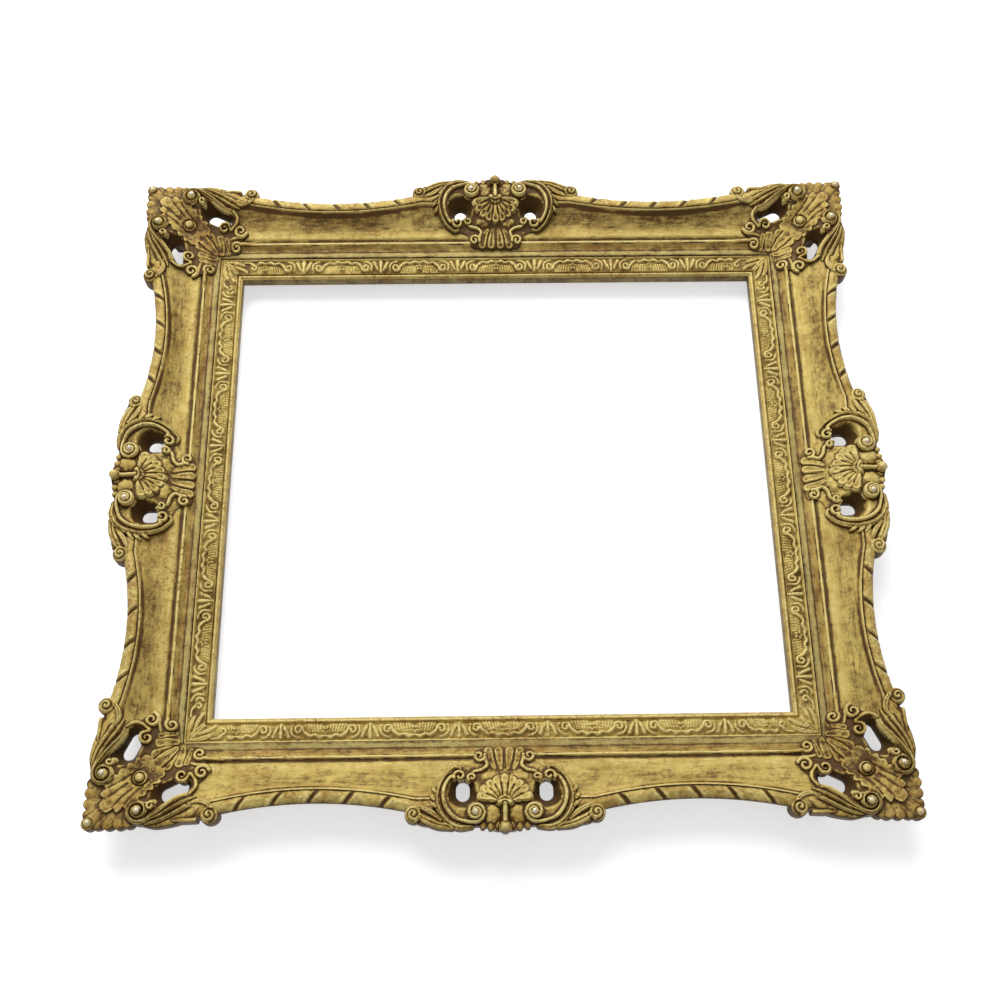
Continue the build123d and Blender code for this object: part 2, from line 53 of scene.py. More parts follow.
# Rail moulding
RAIL_INNER = 22.2
FILLET_END = 28.0
FILLET_HEIGHT = 28.0
RIDGE_START = 34.0
RIDGE_WIDTH = 3.6
RIDGE_BASE = 31.2
RIDGE_RISE = 1.5
GROOVE = 39.8
COVE_START = 41.4
COVE_FOOT = 32.6
COVE_SAG = 2.6
LIP_NARROW = 64.4
LIP_WIDE = 74.0
LIP_HEIGHT = 45.3
LIP_WIDTH = 0.9
SKIN = 0.3
SKIN_THICKNESS = 0.6
RAIL_STEP = 2.4
SWEEP_START = 74.8
SWEEP_END = 7.2

# Ribbon edge: its seat on the rail, its round face and its cuts
RIBBON_STEP = 1.1
SEAT_WIDTH = 11.4
SEAT_DROP = 4.0
RIBBON_CROWN = 3.7
RIBBON_TUCK = 15.0
CUT_PITCH = 30.0
CUT_LEAN = 8.8
CUT_WIDTH = 2.1
CUT_DEPTH = 1.8
CUT_EDGE = 0.7
RIBBON_STATION = 0.7
UNDER_EDGE = np.array([(SEAT_WIDTH + 0.4, -5.6), (SEAT_WIDTH - 0.6, -7.8), (SEAT_WIDTH - 2.4, -9.4),
                       (6.0, -6.0), (2.0, -3.0)])

# Sight liner
LINER_FACE = 22.0
LINER_FLANGE = 28.0
REBATE_ROOF = 14.0
REBATE_WIDTH = 6.0
LEDGE = 6.0
FLANGE_HEIGHT = 20.0
SIGHT_HEIGHT = 24.0
BAND_START = 5.4
BAND_END = 20.0
BAND_HEIGHT = 26.2
REPEAT = 76.0
MITRE_LEAF = -14.5
LINER_STEP = 0.8
WALL_FOOT = 19.0
WALL_TOP = 23.4

# Cartouches: ground under the carving, underside and pierced openings
GROUND_OUT = (22, 28, 34, 41, 50, 60, 68, 76, 110)
GROUND_HEIGHT = (29.5, 29.8, 33, 34.4, 36.2, 40.3, 44.2, 46.5, 46.5)
UNDER_OUT = (22, 74, 84, 106)
UNDER_HEIGHT = (26.6, 26.6, 29.0, 40.0)
CORNER_WELL = (25.0, 63.0)
CORNER_WELL_RUN = 13.0
CORNER_WELL_TURN = 26.0
CENTRE_WELL = (35.0, 66.5)
CENTRE_WELL_RUN = 5.0
CENTRE_WELL_TURN = 90.0
WELL_RADIUS = 5.8
WELL_SKIN_RADIUS = 12.6
WELL_FLOOR = 32.0
WELL_SLOPE = 1.75
WELL_RIM = 1.6
EYE_TOP = 56.0
MITRE_BLEND = 10.0
MITRE_DROP = 1.0
SHELL_ROOT = np.array((0, 77.5))
SHELL_STEP = 19

# Wear of the gilding and its painted light and shade: the umber darkening and painted shade over each
# corner, the painted shade over each centre and cove (a negative value lightens), russet stain on each
# cove, the width of the painted shadow inside each lip, how much lighter each liner is painted, the painted
# shade in the creases along a rail as (distance out, depth), and where the rail is olive, russet and paler
CORNER_UMBER_AND_SHADE = {"top_right": 0.12, "top_left": 0.4, "bottom_left": 0.2, "bottom_right": 0.35}
CENTRE_PAINTED_SHADE = {"top": 0.7, "left": 0.0, "bottom": 0.0, "right": -0.4}
LIP_SHADE = {"top": 3.8, "left": 2.8, "bottom": 2.0, "right": 2.6}
COVE_SHADE_AND_STAIN = {"top": 0.42, "left": 0.22, "bottom": 0.0, "right": 0.12}
LINER_PAINTED_LIGHT = {"top": -0.1, "left": 0.0, "bottom": 0.35, "right": 0.0}
RAIL_LINES = ((RAIL_INNER + 0.5, 1.1), (FILLET_END, 0.8), (RIDGE_START, 0.9), (GROOVE, 0.2))
RAIL_LINE_WIDTH = 0.75
FILLET_MIDDLE = 24.6
HOLLOW_MIDDLE = 30.8
COVE_PALER_BAND = 45

# Fineness of the carving
GRID = 0.6
CURVE_STEP = 0.3
SEAM = 0.5
MOAT = 0.9
MOAT_WIDTH = 0.7
MOAT_FLOOR = 1.4
MARGIN = 1.2
LATTICE = 64
HAND_LUMPS = ((0.36, 5.0), (0.22, 1.9))
LEAST_CUT = 0.02
LEAST_THICKNESS = 0.5
SHARP_ANGLE = 70


def rounded(u):
    """Profile of a full ridge, from -1 to 1 across it."""
    return np.clip(1 - np.abs(u) ** 2.6, 0, 1) ** 0.62


def hollowed(u):
    """Profile of a hollow flute between two edges."""
    return np.clip(1 - u ** 8, 0, 1) * (0.35 + 0.65 * u * u)


def veined(u):
    """Profile of a leaf with a vein along its middle."""
    return rounded(u) - 0.38 * np.exp(-(u / 0.17) ** 2)


def strands(count):
    """Profile of a ridge split into strands, higher on one side."""
    return lambda u: rounded(u) * (0.74 + 0.26 * np.cos(count * math.pi * u) + 0.12 * u)


def direction(angle):
    """Unit vector at an angle in degrees."""
    return np.array([math.cos(math.radians(angle)), math.sin(math.radians(angle))])


def curve(points):
    """Smooth line through points, as close samples."""
    points = np.array(points, float)
    ends = np.vstack([2 * points[0] - points[1], points, 2 * points[-1] - points[-2]])
    samples = []
    for a, b, c, d in zip(ends, ends[1:], ends[2:], ends[3:]):
        count = max(2, int(math.dist(b, c) / CURVE_STEP))
        t = np.linspace(0, 1, count, endpoint=False)[:, None]
        bend = (c - a) * t + (2 * a - 5 * b + 4 * c - d) * t ** 2 + (3 * b - a - 3 * c + d) * t ** 3
        samples.append(b + 0.5 * bend)
    return np.vstack(samples + [points[-1:]])


def volute(centre, start, turns, outer, inner=1.0):
    """Spiral in to a centre. Start is its first direction in degrees, and turns is signed."""
    count = int(abs(turns) * 12) + 2
    angle = math.radians(start) + np.linspace(0, turns * 2 * math.pi, count)
    radius = np.linspace(outer, inner, count)
    return [(centre[0] + r * math.cos(t), centre[1] + r * math.sin(t)) for r, t in zip(radius, angle)]


def along(values, place):
    """A value, or values spread evenly along a line, at each place from 0 to 1."""
    return np.interp(place, np.linspace(0, 1, np.size(values)), np.atleast_1d(values))


def soft_max(a, b, seam):
    """The larger of two fields, blended where they differ by less than the seam."""
    mix = np.clip(0.5 + 0.5 * (a - b) / seam, 0, 1)
    return b + (a - b) * mix + seam * mix * (1 - mix)


def blur(field, weight, reach):
    """Weighted average of a field over a soft window of reach cells."""
    span = np.arange(-3 * reach, 3 * reach + 1)
    kernel = np.exp(-0.5 * (span / reach) ** 2)

    def spread(values):
        for axis in (0, 1):
            values = np.apply_along_axis(np.convolve, axis, values, kernel, "same")
        return values

    return spread(field * weight) / np.maximum(spread(weight), 1e-6)


def wander(x, y, size, seed):
    """Smooth hand-made unevenness from -1 to 1, with lumps of about the stated size."""
    lattice = np.random.default_rng(seed).uniform(-1, 1, (LATTICE, LATTICE))
    u = np.asarray(x) / size + 1000
    v = np.asarray(y) / size + 1000
    iu = np.floor(u).astype(int)
    iv = np.floor(v).astype(int)
    fu = u - iu
    fv = v - iv
    fu = fu * fu * (3 - 2 * fu)
    fv = fv * fv * (3 - 2 * fv)
    left = iu % LATTICE
    right = (iu + 1) % LATTICE
    near = iv % LATTICE
    far = (iv + 1) % LATTICE
    low = lattice[left, near] * (1 - fu) + lattice[right, near] * fu
    high = lattice[left, far] * (1 - fu) + lattice[right, far] * fu
    return low * (1 - fv) + high * fv


def slot_ends(centre, run, turn):
    """The two centres of a round-ended slot."""
    way = direction(turn) * run / 2
    return [np.array(centre) - way, np.array(centre) + way]


def slot_distance(x, y, ends):
    """Distance from the middle line of a slot."""
    (ax, ay), (bx, by) = ends
    dx = bx - ax
    dy = by - ay
    t = np.clip(((x - ax) * dx + (y - ay) * dy) / (dx * dx + dy * dy), 0, 1)
    return np.hypot(x - ax - t * dx, y - ay - t * dy)


class Relief:
    """Carving over a square plan grid: the height of its face and the distance outside its edge."""

    def __init__(self, low, high, ground, twin):
        self.twin = twin
        self.low = np.array(low, float)
        x = np.arange(low[0], high[0] + GRID, GRID)
        y = np.arange(low[1], high[1] + GRID, GRID)
        self.x, self.y = np.meshgrid(x, y, indexing="ij")
        self.ground = ground(self.x, self.y)
        self.top = np.full(self.x.shape, -100.0)
        self.edge = np.full(self.x.shape, 100.0)
        self.hole = np.full(self.x.shape, 100.0)
        self.worn = np.zeros(self.x.shape)
        self.wash_and_shade = np.zeros(self.x.shape)
        self.stain = np.zeros(self.x.shape)

    def copies(self, points):
        """The points and their mirror image."""
        return points, [self.twin(x, y) for x, y in points]

    def near(self, points, reach):
        """Grid window round a line, with distance, side and place along the line."""
        line = curve(points)
        low = np.maximum(((line.min(0) - reach - self.low) / GRID).astype(int), 0)
        high = ((line.max(0) + reach - self.low) / GRID).astype(int) + 2
        window = (slice(low[0], high[0]), slice(low[1], high[1]))
        x = self.x[window]
        y = self.y[window]
        best = np.full(x.shape, 1e9)
        index = np.zeros(x.shape, int)
        for k, (px, py) in enumerate(line):
            gap = (x - px) ** 2 + (y - py) ** 2
            closer = gap < best
            best[closer] = gap[closer]
            index[closer] = k
        way = np.gradient(line, axis=0)
        side = np.sign(way[index, 0] * (y - line[index, 1]) - way[index, 1] * (x - line[index, 0]))
        run = np.concatenate([[0], np.cumsum(np.linalg.norm(np.diff(line, axis=0), axis=1))])
        return window, np.sqrt(best), side, run[index] / run[-1]

    def lay(self, window, height, edge, moat):
        """Put a form on the carving: the higher face wins, and a dark line is cut round it."""
        top = self.top[window]
        floor = np.minimum(top, self.ground[window] - MOAT_FLOOR)
        top = np.maximum(top - moat * np.exp(-(edge / MOAT_WIDTH) ** 2), floor)
        self.top[window] = np.where(edge < MARGIN, soft_max(top, height, SEAM), top)
        self.edge[window] = np.minimum(self.edge[window], edge)
        self.hole[window] = np.maximum(self.hole[window], -edge)

    def stroke(self, points, width, rise, profile=rounded, lift=0.0, moat=MOAT):
        """Ridge along a line and its twin. Width, rise and lift are values or lists along it."""
        for sign, line in zip((1, -1), self.copies(points)):
            window, distance, side, place = self.near(line, np.max(width) / 2 + 2)
            half = along(width, place) / 2
            shape = profile(np.clip(sign * side * distance / half, -1, 1))
            height = self.ground[window] + along(lift, place) + along(rise, place) * shape
            self.lay(window, height, distance - half, moat)

    def lobe(self, place, size, turn, rise, lift=0.0, moat=MOAT):
        """Oval leaf or boss: size is its length and width, turn its angle in degrees."""
        length, width = size
        way = direction(turn) * (length - width) / 2
        line = [np.array(place) - way, np.array(place), np.array(place) + way]
        self.stroke(line, [0.7 * width, width, 0.7 * width], rise, lift=lift, moat=moat)

    def ball(self, place, radius, top, moat=MOAT, worn=0.0):
        """Round bead that stands up to a stated height, with a painted white glint and smoother gold on its
        crown.
        """
        for x, y in (place, self.twin(*place)):
            span = (self.x - x) ** 2 + (self.y - y) ** 2
            distance = np.sqrt(span)
            height = top - radius + np.sqrt(np.clip(radius ** 2 - span, 0, None))
            self.lay((slice(None), slice(None)), height, distance - radius, moat)
            # Painted white glint on the crown of the bead
            self.worn = np.maximum(self.worn, worn * np.clip(1.1 - 0.7 * distance / radius, 0, 1))

    def bud(self, place, radius, top, start, turns):
        """Knob carved as a tight spiral."""
        self.ball(place, radius, top)
        self.groove(volute(place, start, turns, 0.78 * radius, 0.15 * radius), 1.9, 2.0)
        for x, y in (place, self.twin(*place)):
            self.wash_and_shade += 0.45 * np.exp(-((self.x - x) ** 2 + (self.y - y) ** 2) / radius ** 2)

    def groove(self, points, width, depth):
        """Cut along a line and its twin."""
        for line in self.copies(points):
            window, distance, _, place = self.near(line, np.max(width) + 2)
            self.top[window] -= depth * np.exp(-(2 * distance / along(width, place)) ** 2)

    def plate(self, points, lift, moat=0.0):
        """Ground inside a closed outline and its twin, lifted off the moulding."""
        for line in self.copies(points):
            ring = curve(line + line[:1])
            window, distance, _, _ = self.near(line + line[:1], 4)
            x = self.x[window]
            y = self.y[window]
            inside = np.zeros(x.shape, bool)
            for (x0, y0), (x1, y1) in zip(ring, np.roll(ring, -1, axis=0)):
                if y0 != y1:
                    inside ^= ((y0 > y) != (y1 > y)) & (x < (x1 - x0) * (y - y0) / (y1 - y0) + x0)
            self.lay(window, self.ground[window] + lift, np.where(inside, -distance, distance), moat)

    def pierce(self, centre, run, turn, wash_and_shade, reach):
        """Open a round-ended hole and its twin in a smooth bowl, with painted shade and umber darkening
        round it.
        """
        for ends in self.copies(slot_ends(centre, run, turn)):
            distance = slot_distance(self.x, self.y, ends) - WELL_RADIUS
            self.hole = np.minimum(self.hole, distance)
            bowl = WELL_FLOOR + WELL_SLOPE * np.maximum(distance, 0)
            self.top = -soft_max(-self.top, -bowl, WELL_RIM)
            # Painted shade and umber darkening round the opening
            self.wash_and_shade += wash_and_shade * np.exp(-(np.maximum(distance, 0) / reach) ** 2)

    def finish(self, seed):
        """Uneven the face a little by hand, and find its recesses, painted dark as shade with umber, and
        its heights, painted pale as highlight and wear.
        """
        inside = (self.edge < MARGIN).astype(float)
        self.top = np.where(inside > 0, self.top, self.ground)
        for step, (depth, size) in enumerate(HAND_LUMPS):
            self.top += depth * wander(self.x, self.y, size, seed + step)
        fine = self.top - blur(self.top, inside, 2)
        broad = self.top - blur(self.top, inside, 7)
        # Painted shade in the recesses and painted highlight on the heights, with umber and wear, made
        # darker over the shaded and toned parts
        self.cavity = 1.7 * fine + 0.28 * broad - 0.2 - self.wash_and_shade
        self.mask = np.maximum(self.edge, -self.hole)


def ground_at(out):
    """Height of the moulding under a cartouche."""
    return np.interp(out, GROUND_OUT, GROUND_HEIGHT)


def under_at(out):
    """Height of the underside of a cartouche."""
    return np.interp(out, UNDER_OUT, UNDER_HEIGHT)


def corner_relief():
    """Corner cartouche, on both sides of the mitre's diagonal."""
    r = Relief((-20, -20), (102, 102), lambda x, y: ground_at(soft_max(x, y, MITRE_BLEND) - MITRE_DROP),
               lambda x, y: (y, x))
    # Ground of the mitre, leaf ground under the bud, and the pierced openings
    r.plate([(24.5, 24.5), (12, 25), (3, 28), (1, 40), (-2, 50), (5, 58), (8, 68), (18, 76), (40, 84),
             (62, 68), (64, 64), (44, 44)], 0.0)
    r.plate([(-6, 79), (2, 73), (14, 70), (30, 82), (50, 88), (46, 91), (34, 92), (20, 89.5), (8, 89),
             (0, 86)], -2.5)
    r.pierce(CORNER_WELL, CORNER_WELL_RUN, CORNER_WELL_TURN, wash_and_shade=1.7, reach=8.5)
    # Fan tip: shallow flutes that end in a scalloped edge
    r.plate([(58, 58), (54, 84), (56, 90), (66, 90), (78, 91), (88, 90), (88, 88), (72, 72)], -1.0)
    flutes = (((60, 72), (58.5, 90)), ((64, 74), (66, 91)), ((68, 75), (75, 91.2)), ((72, 74), (84, 91)))
    for start, end in flutes:
        r.stroke([start, np.add(start, end) / 2, end], [6, 8.2, 9.8], [0.1, 0.4, 1.3], lift=-0.8, moat=0.1)
    r.stroke([(72, 72), (84, 84), (91, 91)], [8, 9, 11], [0.2, 0.6, 3.0], lift=-0.8, moat=0.15)
    r.ball((90.6, 90.6), 3.6, 51.0, moat=0.5, worn=0.8)
    # Outer leaf of the C-scroll and its flowing strands
    r.stroke([(2, 79), (12, 85), (24, 88.6), (37, 90.5), (50, 89)], [4, 8, 9, 9, 6], 2.0, lift=-1.2)
    r.stroke([(4, 89), (13, 89), (22, 89.6)], [3, 4, 2], 1.8, lift=-1.5)
    r.stroke([(1, 72.5), (11, 77.5), (22, 83.5), (34, 89), (46, 91.5)],
             [2.5, 4.2, 4.6, 4.4, 3], [1.5, 3.5, 4.2, 4.2, 3], strands(2))
    r.stroke([(5, 70), (15, 74), (26, 80.6), (36, 86.6), (46, 90.2)],
             [2.5, 4, 4.4, 4.2, 3], [1.5, 3.8, 4.8, 5, 4], strands(2))
    # Bud and the leaf that carries it
    r.stroke([(10, 76), (3, 73.4), (-4, 75), (-9, 79)], [3, 4.5, 5, 4], [1, 3, 4, 3.6], veined, lift=-0.6)
    r.bud((-7.2, 85.0), 7.6, 50.5, 100, 1.4)
    # C-scroll rim, from the bud side of the opening to the ring round the eye
    eye = (50.5, 81.6)
    r.stroke([(10, 67.5), (18, 70), (26, 76), (35, 83.4), (43, 88)] + volute(eye, 105, -1.6, 8.4, 3.4),
             [2.5, 4.4, 5.2, 5.2, 4.8, 4.2, 3.8, 3.2], [1.5, 4, 5, 5.6, 6, 6.5, 7.2, 8], strands(2))
    r.ball(eye, 2.6, EYE_TOP, moat=0.4, worn=1.5)
    r.stroke(volute((40.5, 77.5), 250, 0.9, 3.4, 1.0), [3.4, 2.6], [4.5, 4])
    # Inner volute and bud-side rim of the opening
    r.stroke([(10, 67), (6.2, 61), (7.4, 54.5), (12, 49.6)] + volute((18.8, 51), 140, -1.2, 5.0, 1.3),
             [2.5, 3.6, 4, 3.8, 3.2, 2.6], [2, 3, 3.6, 4, 3.8, 3.4])
    # Curl that ends the groove and curl that ends the ridge bead
    r.stroke([(13, 40), (7, 41.6), (0, 42.6)] + volute((2.8, 48.2), 200, 1.25, 6.2, 1.5),
             [2.5, 3.8, 4.2, 4, 3.4, 2.6], [1.5, 3, 3.4, 3.4, 3.2, 3])
    r.stroke([(-14, 35.8), (0, 35.6)] + volute((6.6, 31.6), 135, -1.25, 5.2, 1.3),
             [3.6, 3.8, 3.6, 3.2, 2.6], [-0.4, 1.2, 2.6, 2.8, 2.6])
    # Flat leaves round the sight corner
    r.stroke([(21, 26.5), (22, 33), (22.5, 39.5)], [5, 8.5, 9.5], [1.6, 2.4, 2.6], hollowed, moat=1.1)
    r.stroke([(26, 28), (29.5, 35), (32.5, 42)], [4, 8.5, 9.5], [1.6, 2.4, 2.6], hollowed, moat=1.1)
    r.stroke([(27, 27), (34, 34), (40, 40)], [5, 9.5, 10.5], [1.8, 2.6, 2.8], hollowed, moat=1.1)
    r.stroke([(14, 28), (15, 34), (16.5, 40)], [3, 4.2, 5], [1.2, 2, 2.2], hollowed, moat=1.1)
    # Body leaf between the openings, with a toothed edge and long veins, and its boss
    r.plate([(44, 44), (37, 45), (34, 50), (38, 53), (37, 56), (42.5, 58), (42, 62), (47, 63.5), (47, 67.5),
             (52, 69), (52.5, 73.5), (57, 74), (59.5, 79.5), (63, 76.5), (67.5, 81), (70.5, 78), (76, 81),
             (78, 78), (62, 62)], 1.9, moat=1.0)
    r.lobe((60, 67), (22, 11), 52, 1.2, lift=1.2, moat=0.0)
    r.lobe((68, 68), (20, 10), 45, 1.4, lift=1.2, moat=0.0)
    r.groove([(50, 60), (57, 68), (62, 76)], [2.0, 2.4, 1.6], 0.8)
    r.groove([(58, 62), (66, 71), (72, 79)], [2.0, 2.4, 1.6], 0.8)
    boss = (53, 53)
    r.ball(boss, 6.4, 45.0)
    r.groove(volute(boss, 0, 1.0, 4.3, 4.3), 1.6, 1.4)
    r.stain += 0.28 + 0.55 * np.clip((r.x + r.y - 128) / 36, 0, 1)
    r.finish(seed=11)
    return r


def centre_relief():
    """Centre cartouche, on both sides of the side's middle."""
    r = Relief((-90, 20), (90, 110), lambda x, y: ground_at(y), lambda x, y: (-x, y))
    # Ground behind the palmette, the shell and the scrolls, and the pierced openings
    r.plate([(0, 30), (-14, 30), (-24, 32), (-27, 42), (-34, 46), (-46, 48), (-54, 58), (-57, 72),
             (-56, 84), (-46, 96), (-20, 97), (0, 96)], 0.0)
    r.plate([(-44, 88), (-56, 86), (-68, 84), (-76, 90), (-70, 95), (-58, 97), (-44, 99), (-34, 98)], -2.5)
    r.pierce(CENTRE_WELL, CENTRE_WELL_RUN, CENTRE_WELL_TURN, wash_and_shade=1.4, reach=7.0)
    # Palmette flutes, and the bracket scrolls with a volute above and a curl below
    for place in (4.0, 11.6):
        r.stroke([(0.7 * place, 48), (place, 40), (1.15 * place, 32.5)], [3, 6, 7.4], [2, 3, 3], hollowed)
    r.stroke([(29, 55.5), (25.5, 51), (18.5, 49), (14.5, 45), (16, 40)]
             + volute((21, 37), 190, -1.2, 4.9, 1.2),
             [2.4, 3.2, 3.6, 3.6, 3.4, 3, 2.6], [3, 3.4, 3.4, 3.2, 3.2, 3, 2.8])
    r.stroke(volute((27.2, 56), 40, -1.0, 3.6, 1.0), [3, 2.6], [3.6, 3.4])
    r.lobe((12.5, 54.5), (15, 9.5), 10, 1.6, lift=0.8)
    # C-scroll: leafy outer strand and smooth inner strand from the eye round the opening to the inner curl
    r.stroke([(28, 97), (38, 97.5), (47, 93), (53.5, 84), (56, 74), (54, 63), (49, 53.5), (43, 47.5)]
             + volute((40, 50.5), 300, -0.6, 4.0, 2.6),
             [5, 6.4, 6.4, 6, 5.6, 5.2, 4.4, 3.6, 3],
             [2, 3.6, 4.4, 4.6, 4.6, 4.2, 3.8, 3.2, 2.6], strands(2))
    r.stroke([(33, 93.5), (42, 90), (48.5, 82), (51, 72), (49.6, 63), (45, 55.5)]
             + volute((37.5, 54.6), 20, -1.0, 5.0, 1.4),
             [3, 4, 4, 4, 3.6, 3.4, 3, 2.6], [4, 5, 4.8, 4.4, 4.2, 4, 3.8, 3.4])
    eye = (24.1, 86.4)
    r.stroke([(38, 92), (30, 94)] + volute(eye, 95, 1.6, 7.4, 3.0),
             [3, 4, 4, 3.6, 3.0], [4, 5.4, 6.4, 7.2, 8])
    r.ball(eye, 2.4, EYE_TOP, moat=0.4, worn=1.5)
    # Leaf fringe outside the scroll, the long leaf and the bud
    r.stroke([(44, 98), (56, 95.4), (66, 91), (74, 85)], [5, 7.6, 7, 4], [2, 3, 3.4, 2.4], veined, lift=-1)
    r.stroke([(53, 92), (60, 86), (67, 82.4), (73, 80.6)], [3, 5, 4.6, 3], [2.4, 3.4, 3.2, 2], veined,
             lift=-0.6)
    for start, end in (((57, 81), (62, 77)), ((58.5, 75), (62, 70.5)), ((57.5, 68.5), (60, 64))):
        r.stroke([start, np.add(start, end) / 2, end], [3.6, 4, 2], [2.6, 2.6, 1.2], veined)
    r.bud((75.4, 86.8), 7.4, 50.0, 90, -1.4)
    # Lobes each side of the keel, scalloped along the rim
    r.lobe((11, 88), (20, 15), 80, 2.0, lift=0.6)
    for place in ((5.5, 97.0), (12.0, 97.6), (18.5, 96.6)):
        r.lobe(place, (8.5, 6.6), 90, 1.8, lift=-0.6)
    # Shell of hollow flutes, keel and knob
    for index in (4, 3, 2, 1, 0):
        ray = direction(SHELL_STEP * index - 90)
        foot = SHELL_ROOT + 5 * ray
        tip = SHELL_ROOT + (20.0 - 0.3 * index) * ray
        r.stroke([foot, (foot + tip) / 2, tip], [2.4, 5.0, 7.2], [2.6, 3.4, 3.4], hollowed,
                 lift=[2.4, 3, 1.8])
    for index in range(4):
        ray = direction(SHELL_STEP * (index + 0.5) - 90)
        r.groove([SHELL_ROOT + reach * ray for reach in (6.5, 11, 16)], [2.6, 2.4, 1.6], 2.2)
    r.lobe((0, 78.5), (15, 6), 0, 3.4, lift=2.2)
    r.groove([(3.2, 82), (3.2, 88), (3.4, 96)], 1.8, 1.6)
    r.stroke([(0, 80), (0, 88), (0, 97)], [4.6, 4.2, 4.2], [4.6, 3.8, 3.6], moat=1.4)
    knob = (0, 99)
    r.ball(knob, 4.2, 54.0, worn=0.5)
    r.wash_and_shade += 0.9 * np.exp(-((r.x - knob[0]) ** 2 + (r.y - knob[1]) ** 2) / 5.0 ** 2)
    r.stain += 0.15 + 0.25 * np.clip((r.y - 84) / 14, 0, 1)
    r.finish(seed=23)
    return r


def liner_relief():
    """Half a repeat of the liner's running ornament: flower, ribbed arch with its curl, half a palmette."""
    middle = REPEAT / 2
    r = Relief((-3, 3), (middle + 3, 22), lambda x, y: np.zeros_like(x), lambda x, y: (x, y))
    r.edge[:] = -1.0
    r.top[:] = -1.5
    for index in range(6):
        place = 4.4 + 2.6 * index
        r.stroke([(place, 6.6), (0.93 * place, 10), (0.86 * place, 12.8)], 1.7, 1.1, lift=-1.2, moat=0)
    for index in range(5):
        turn = 90 + 72 * index
        r.lobe((0, 11.6) + 2.4 * direction(turn), (3.6, 2.8), turn, 2.0, lift=-1.0, moat=0.5)
    r.stroke([(0, 16.6), (5, 17.8), (9, 15.8), (13, 17.0), (17, 14.2), (19.2, 11)]
             + volute((23, 11.4), 185, 1.1, 4.0, 1.2),
             [2.2, 3.4, 2.6, 3.8, 3.0, 2.8, 2.8, 2.6], 2.6, lift=-1.1, moat=0.9)
    r.stroke([(middle, 6.6), (34, 11), (31.4, 17)], [1.8, 3.4, 4], 2.5, veined, lift=-1.1, moat=0.9)
    r.stroke([(middle, 6.6), (middle, 12), (middle, 18)], [2.2, 3.4, 3.6], 2.7, veined, lift=-1.1, moat=0.9)
    r.stroke([(22, 18.2), (26, 17.2), (29, 13.4), (28.4, 8)], [1.6, 2.8, 3.0, 1.8], 2.3,
             lift=-1.1, moat=0.9)
    return r


def liner_corner_relief():
    """Leaves that cover the mitre of the liner's running ornament."""
    r = Relief((-22, -22), (24, 24), lambda x, y: np.zeros_like(x), lambda x, y: (y, x))
    r.edge[:] = -1.0
    r.top[:] = -1.1
    r.stroke([(19.5, 19.5), (13, 13), (6, 6)], [4, 7.6, 4], 2.4, veined, lift=-0.8, moat=0.5)
    r.stroke([(16, 19), (6, 17.4), (-1, 14.6)], [3, 5, 3], 2.2, veined, lift=-0.9, moat=0.5)
    r.stroke([(10, 14), (2, 10.6), (-4, 7.2)], [3, 4.6, 2.6], 2.1, veined, lift=-0.9, moat=0.5)
    r.stroke([(-1, 17.6), (-7, 17.2), (-11, 14.4)] + volute((-10.4, 11.4), 80, 1.0, 3.2, 1.0),
             [2, 2.6, 2.6, 2.4, 2], 2.0, lift=-1.0, moat=0.4)
    return r


def build_mesh(name, points, faces, **fields):
    """Mesh object from millimetre points, with a smooth face and named fields on its points."""
    mesh = bpy.data.meshes.new(name)
    mesh.from_pydata(np.asarray(points) * MM, [], faces)
    mesh.polygons.foreach_set("use_smooth", np.ones(len(mesh.polygons), bool))
    mesh.set_sharp_from_angle(angle=math.radians(SHARP_ANGLE))
    for field, values in fields.items():
        layer = mesh.attributes.new(field, "FLOAT", "POINT")
        layer.data.foreach_set("value", np.asarray(values, np.float32))
    mesh.validate()
    piece = bpy.data.objects.new(name, mesh)
    bpy.context.collection.objects.link(piece)
    return piece


def outline_cells(mask):
    """Polygons of the grid inside a mask, cut where the mask crosses zero, and the cut edges in order."""
    number = np.arange(mask.size).reshape(mask.shape)
    inside = mask < 0
    whole = inside[:-1, :-1] & inside[1:, :-1] & inside[1:, 1:] & inside[:-1, 1:]
    some = inside[:-1, :-1] | inside[1:, :-1] | inside[1:, 1:] | inside[:-1, 1:]
    i, j = np.nonzero(whole)
    squares = [number[i, j], number[i + 1, j], number[i + 1, j + 1], number[i, j + 1]]
    cells = np.stack(squares, axis=1).tolist()
    flat = mask.ravel()
    cuts = {}
    rim = []
    for i, j in zip(*np.nonzero(some & ~whole)):
        ring = [number[i, j], number[i + 1, j], number[i + 1, j + 1], number[i, j + 1]]
        polygon = []
        exits = []
        for a, b in zip(ring, ring[1:] + ring[:1]):
            if flat[a] < 0:
                polygon.append(a)
            if (flat[a] < 0) != (flat[b] < 0):
                key = (min(a, b), max(a, b))
                cuts.setdefault(key, mask.size + len(cuts))
                polygon.append(cuts[key])
                exits.append((flat[a] < 0, cuts[key]))
        cells.append(polygon)
        for k, (leaves, cut) in enumerate(exits):
            if leaves:
                rim.append((cut, exits[(k + 1) % len(exits)][1]))
    return cells, cuts, rim


def cut_filler(mask, cuts, least=0.0):
    """Function that adds to a grid's values those at its cut edges, a least share away from its points."""
    start, end = np.array(list(cuts)).T
    flat = mask.ravel()
    share = np.clip(flat[start] / (flat[start] - flat[end]), least, 1 - least)

    def with_cuts(values):
        values = values.ravel()
        return np.concatenate([values, values[start] * (1 - share) + values[end] * share])

    return with_cuts


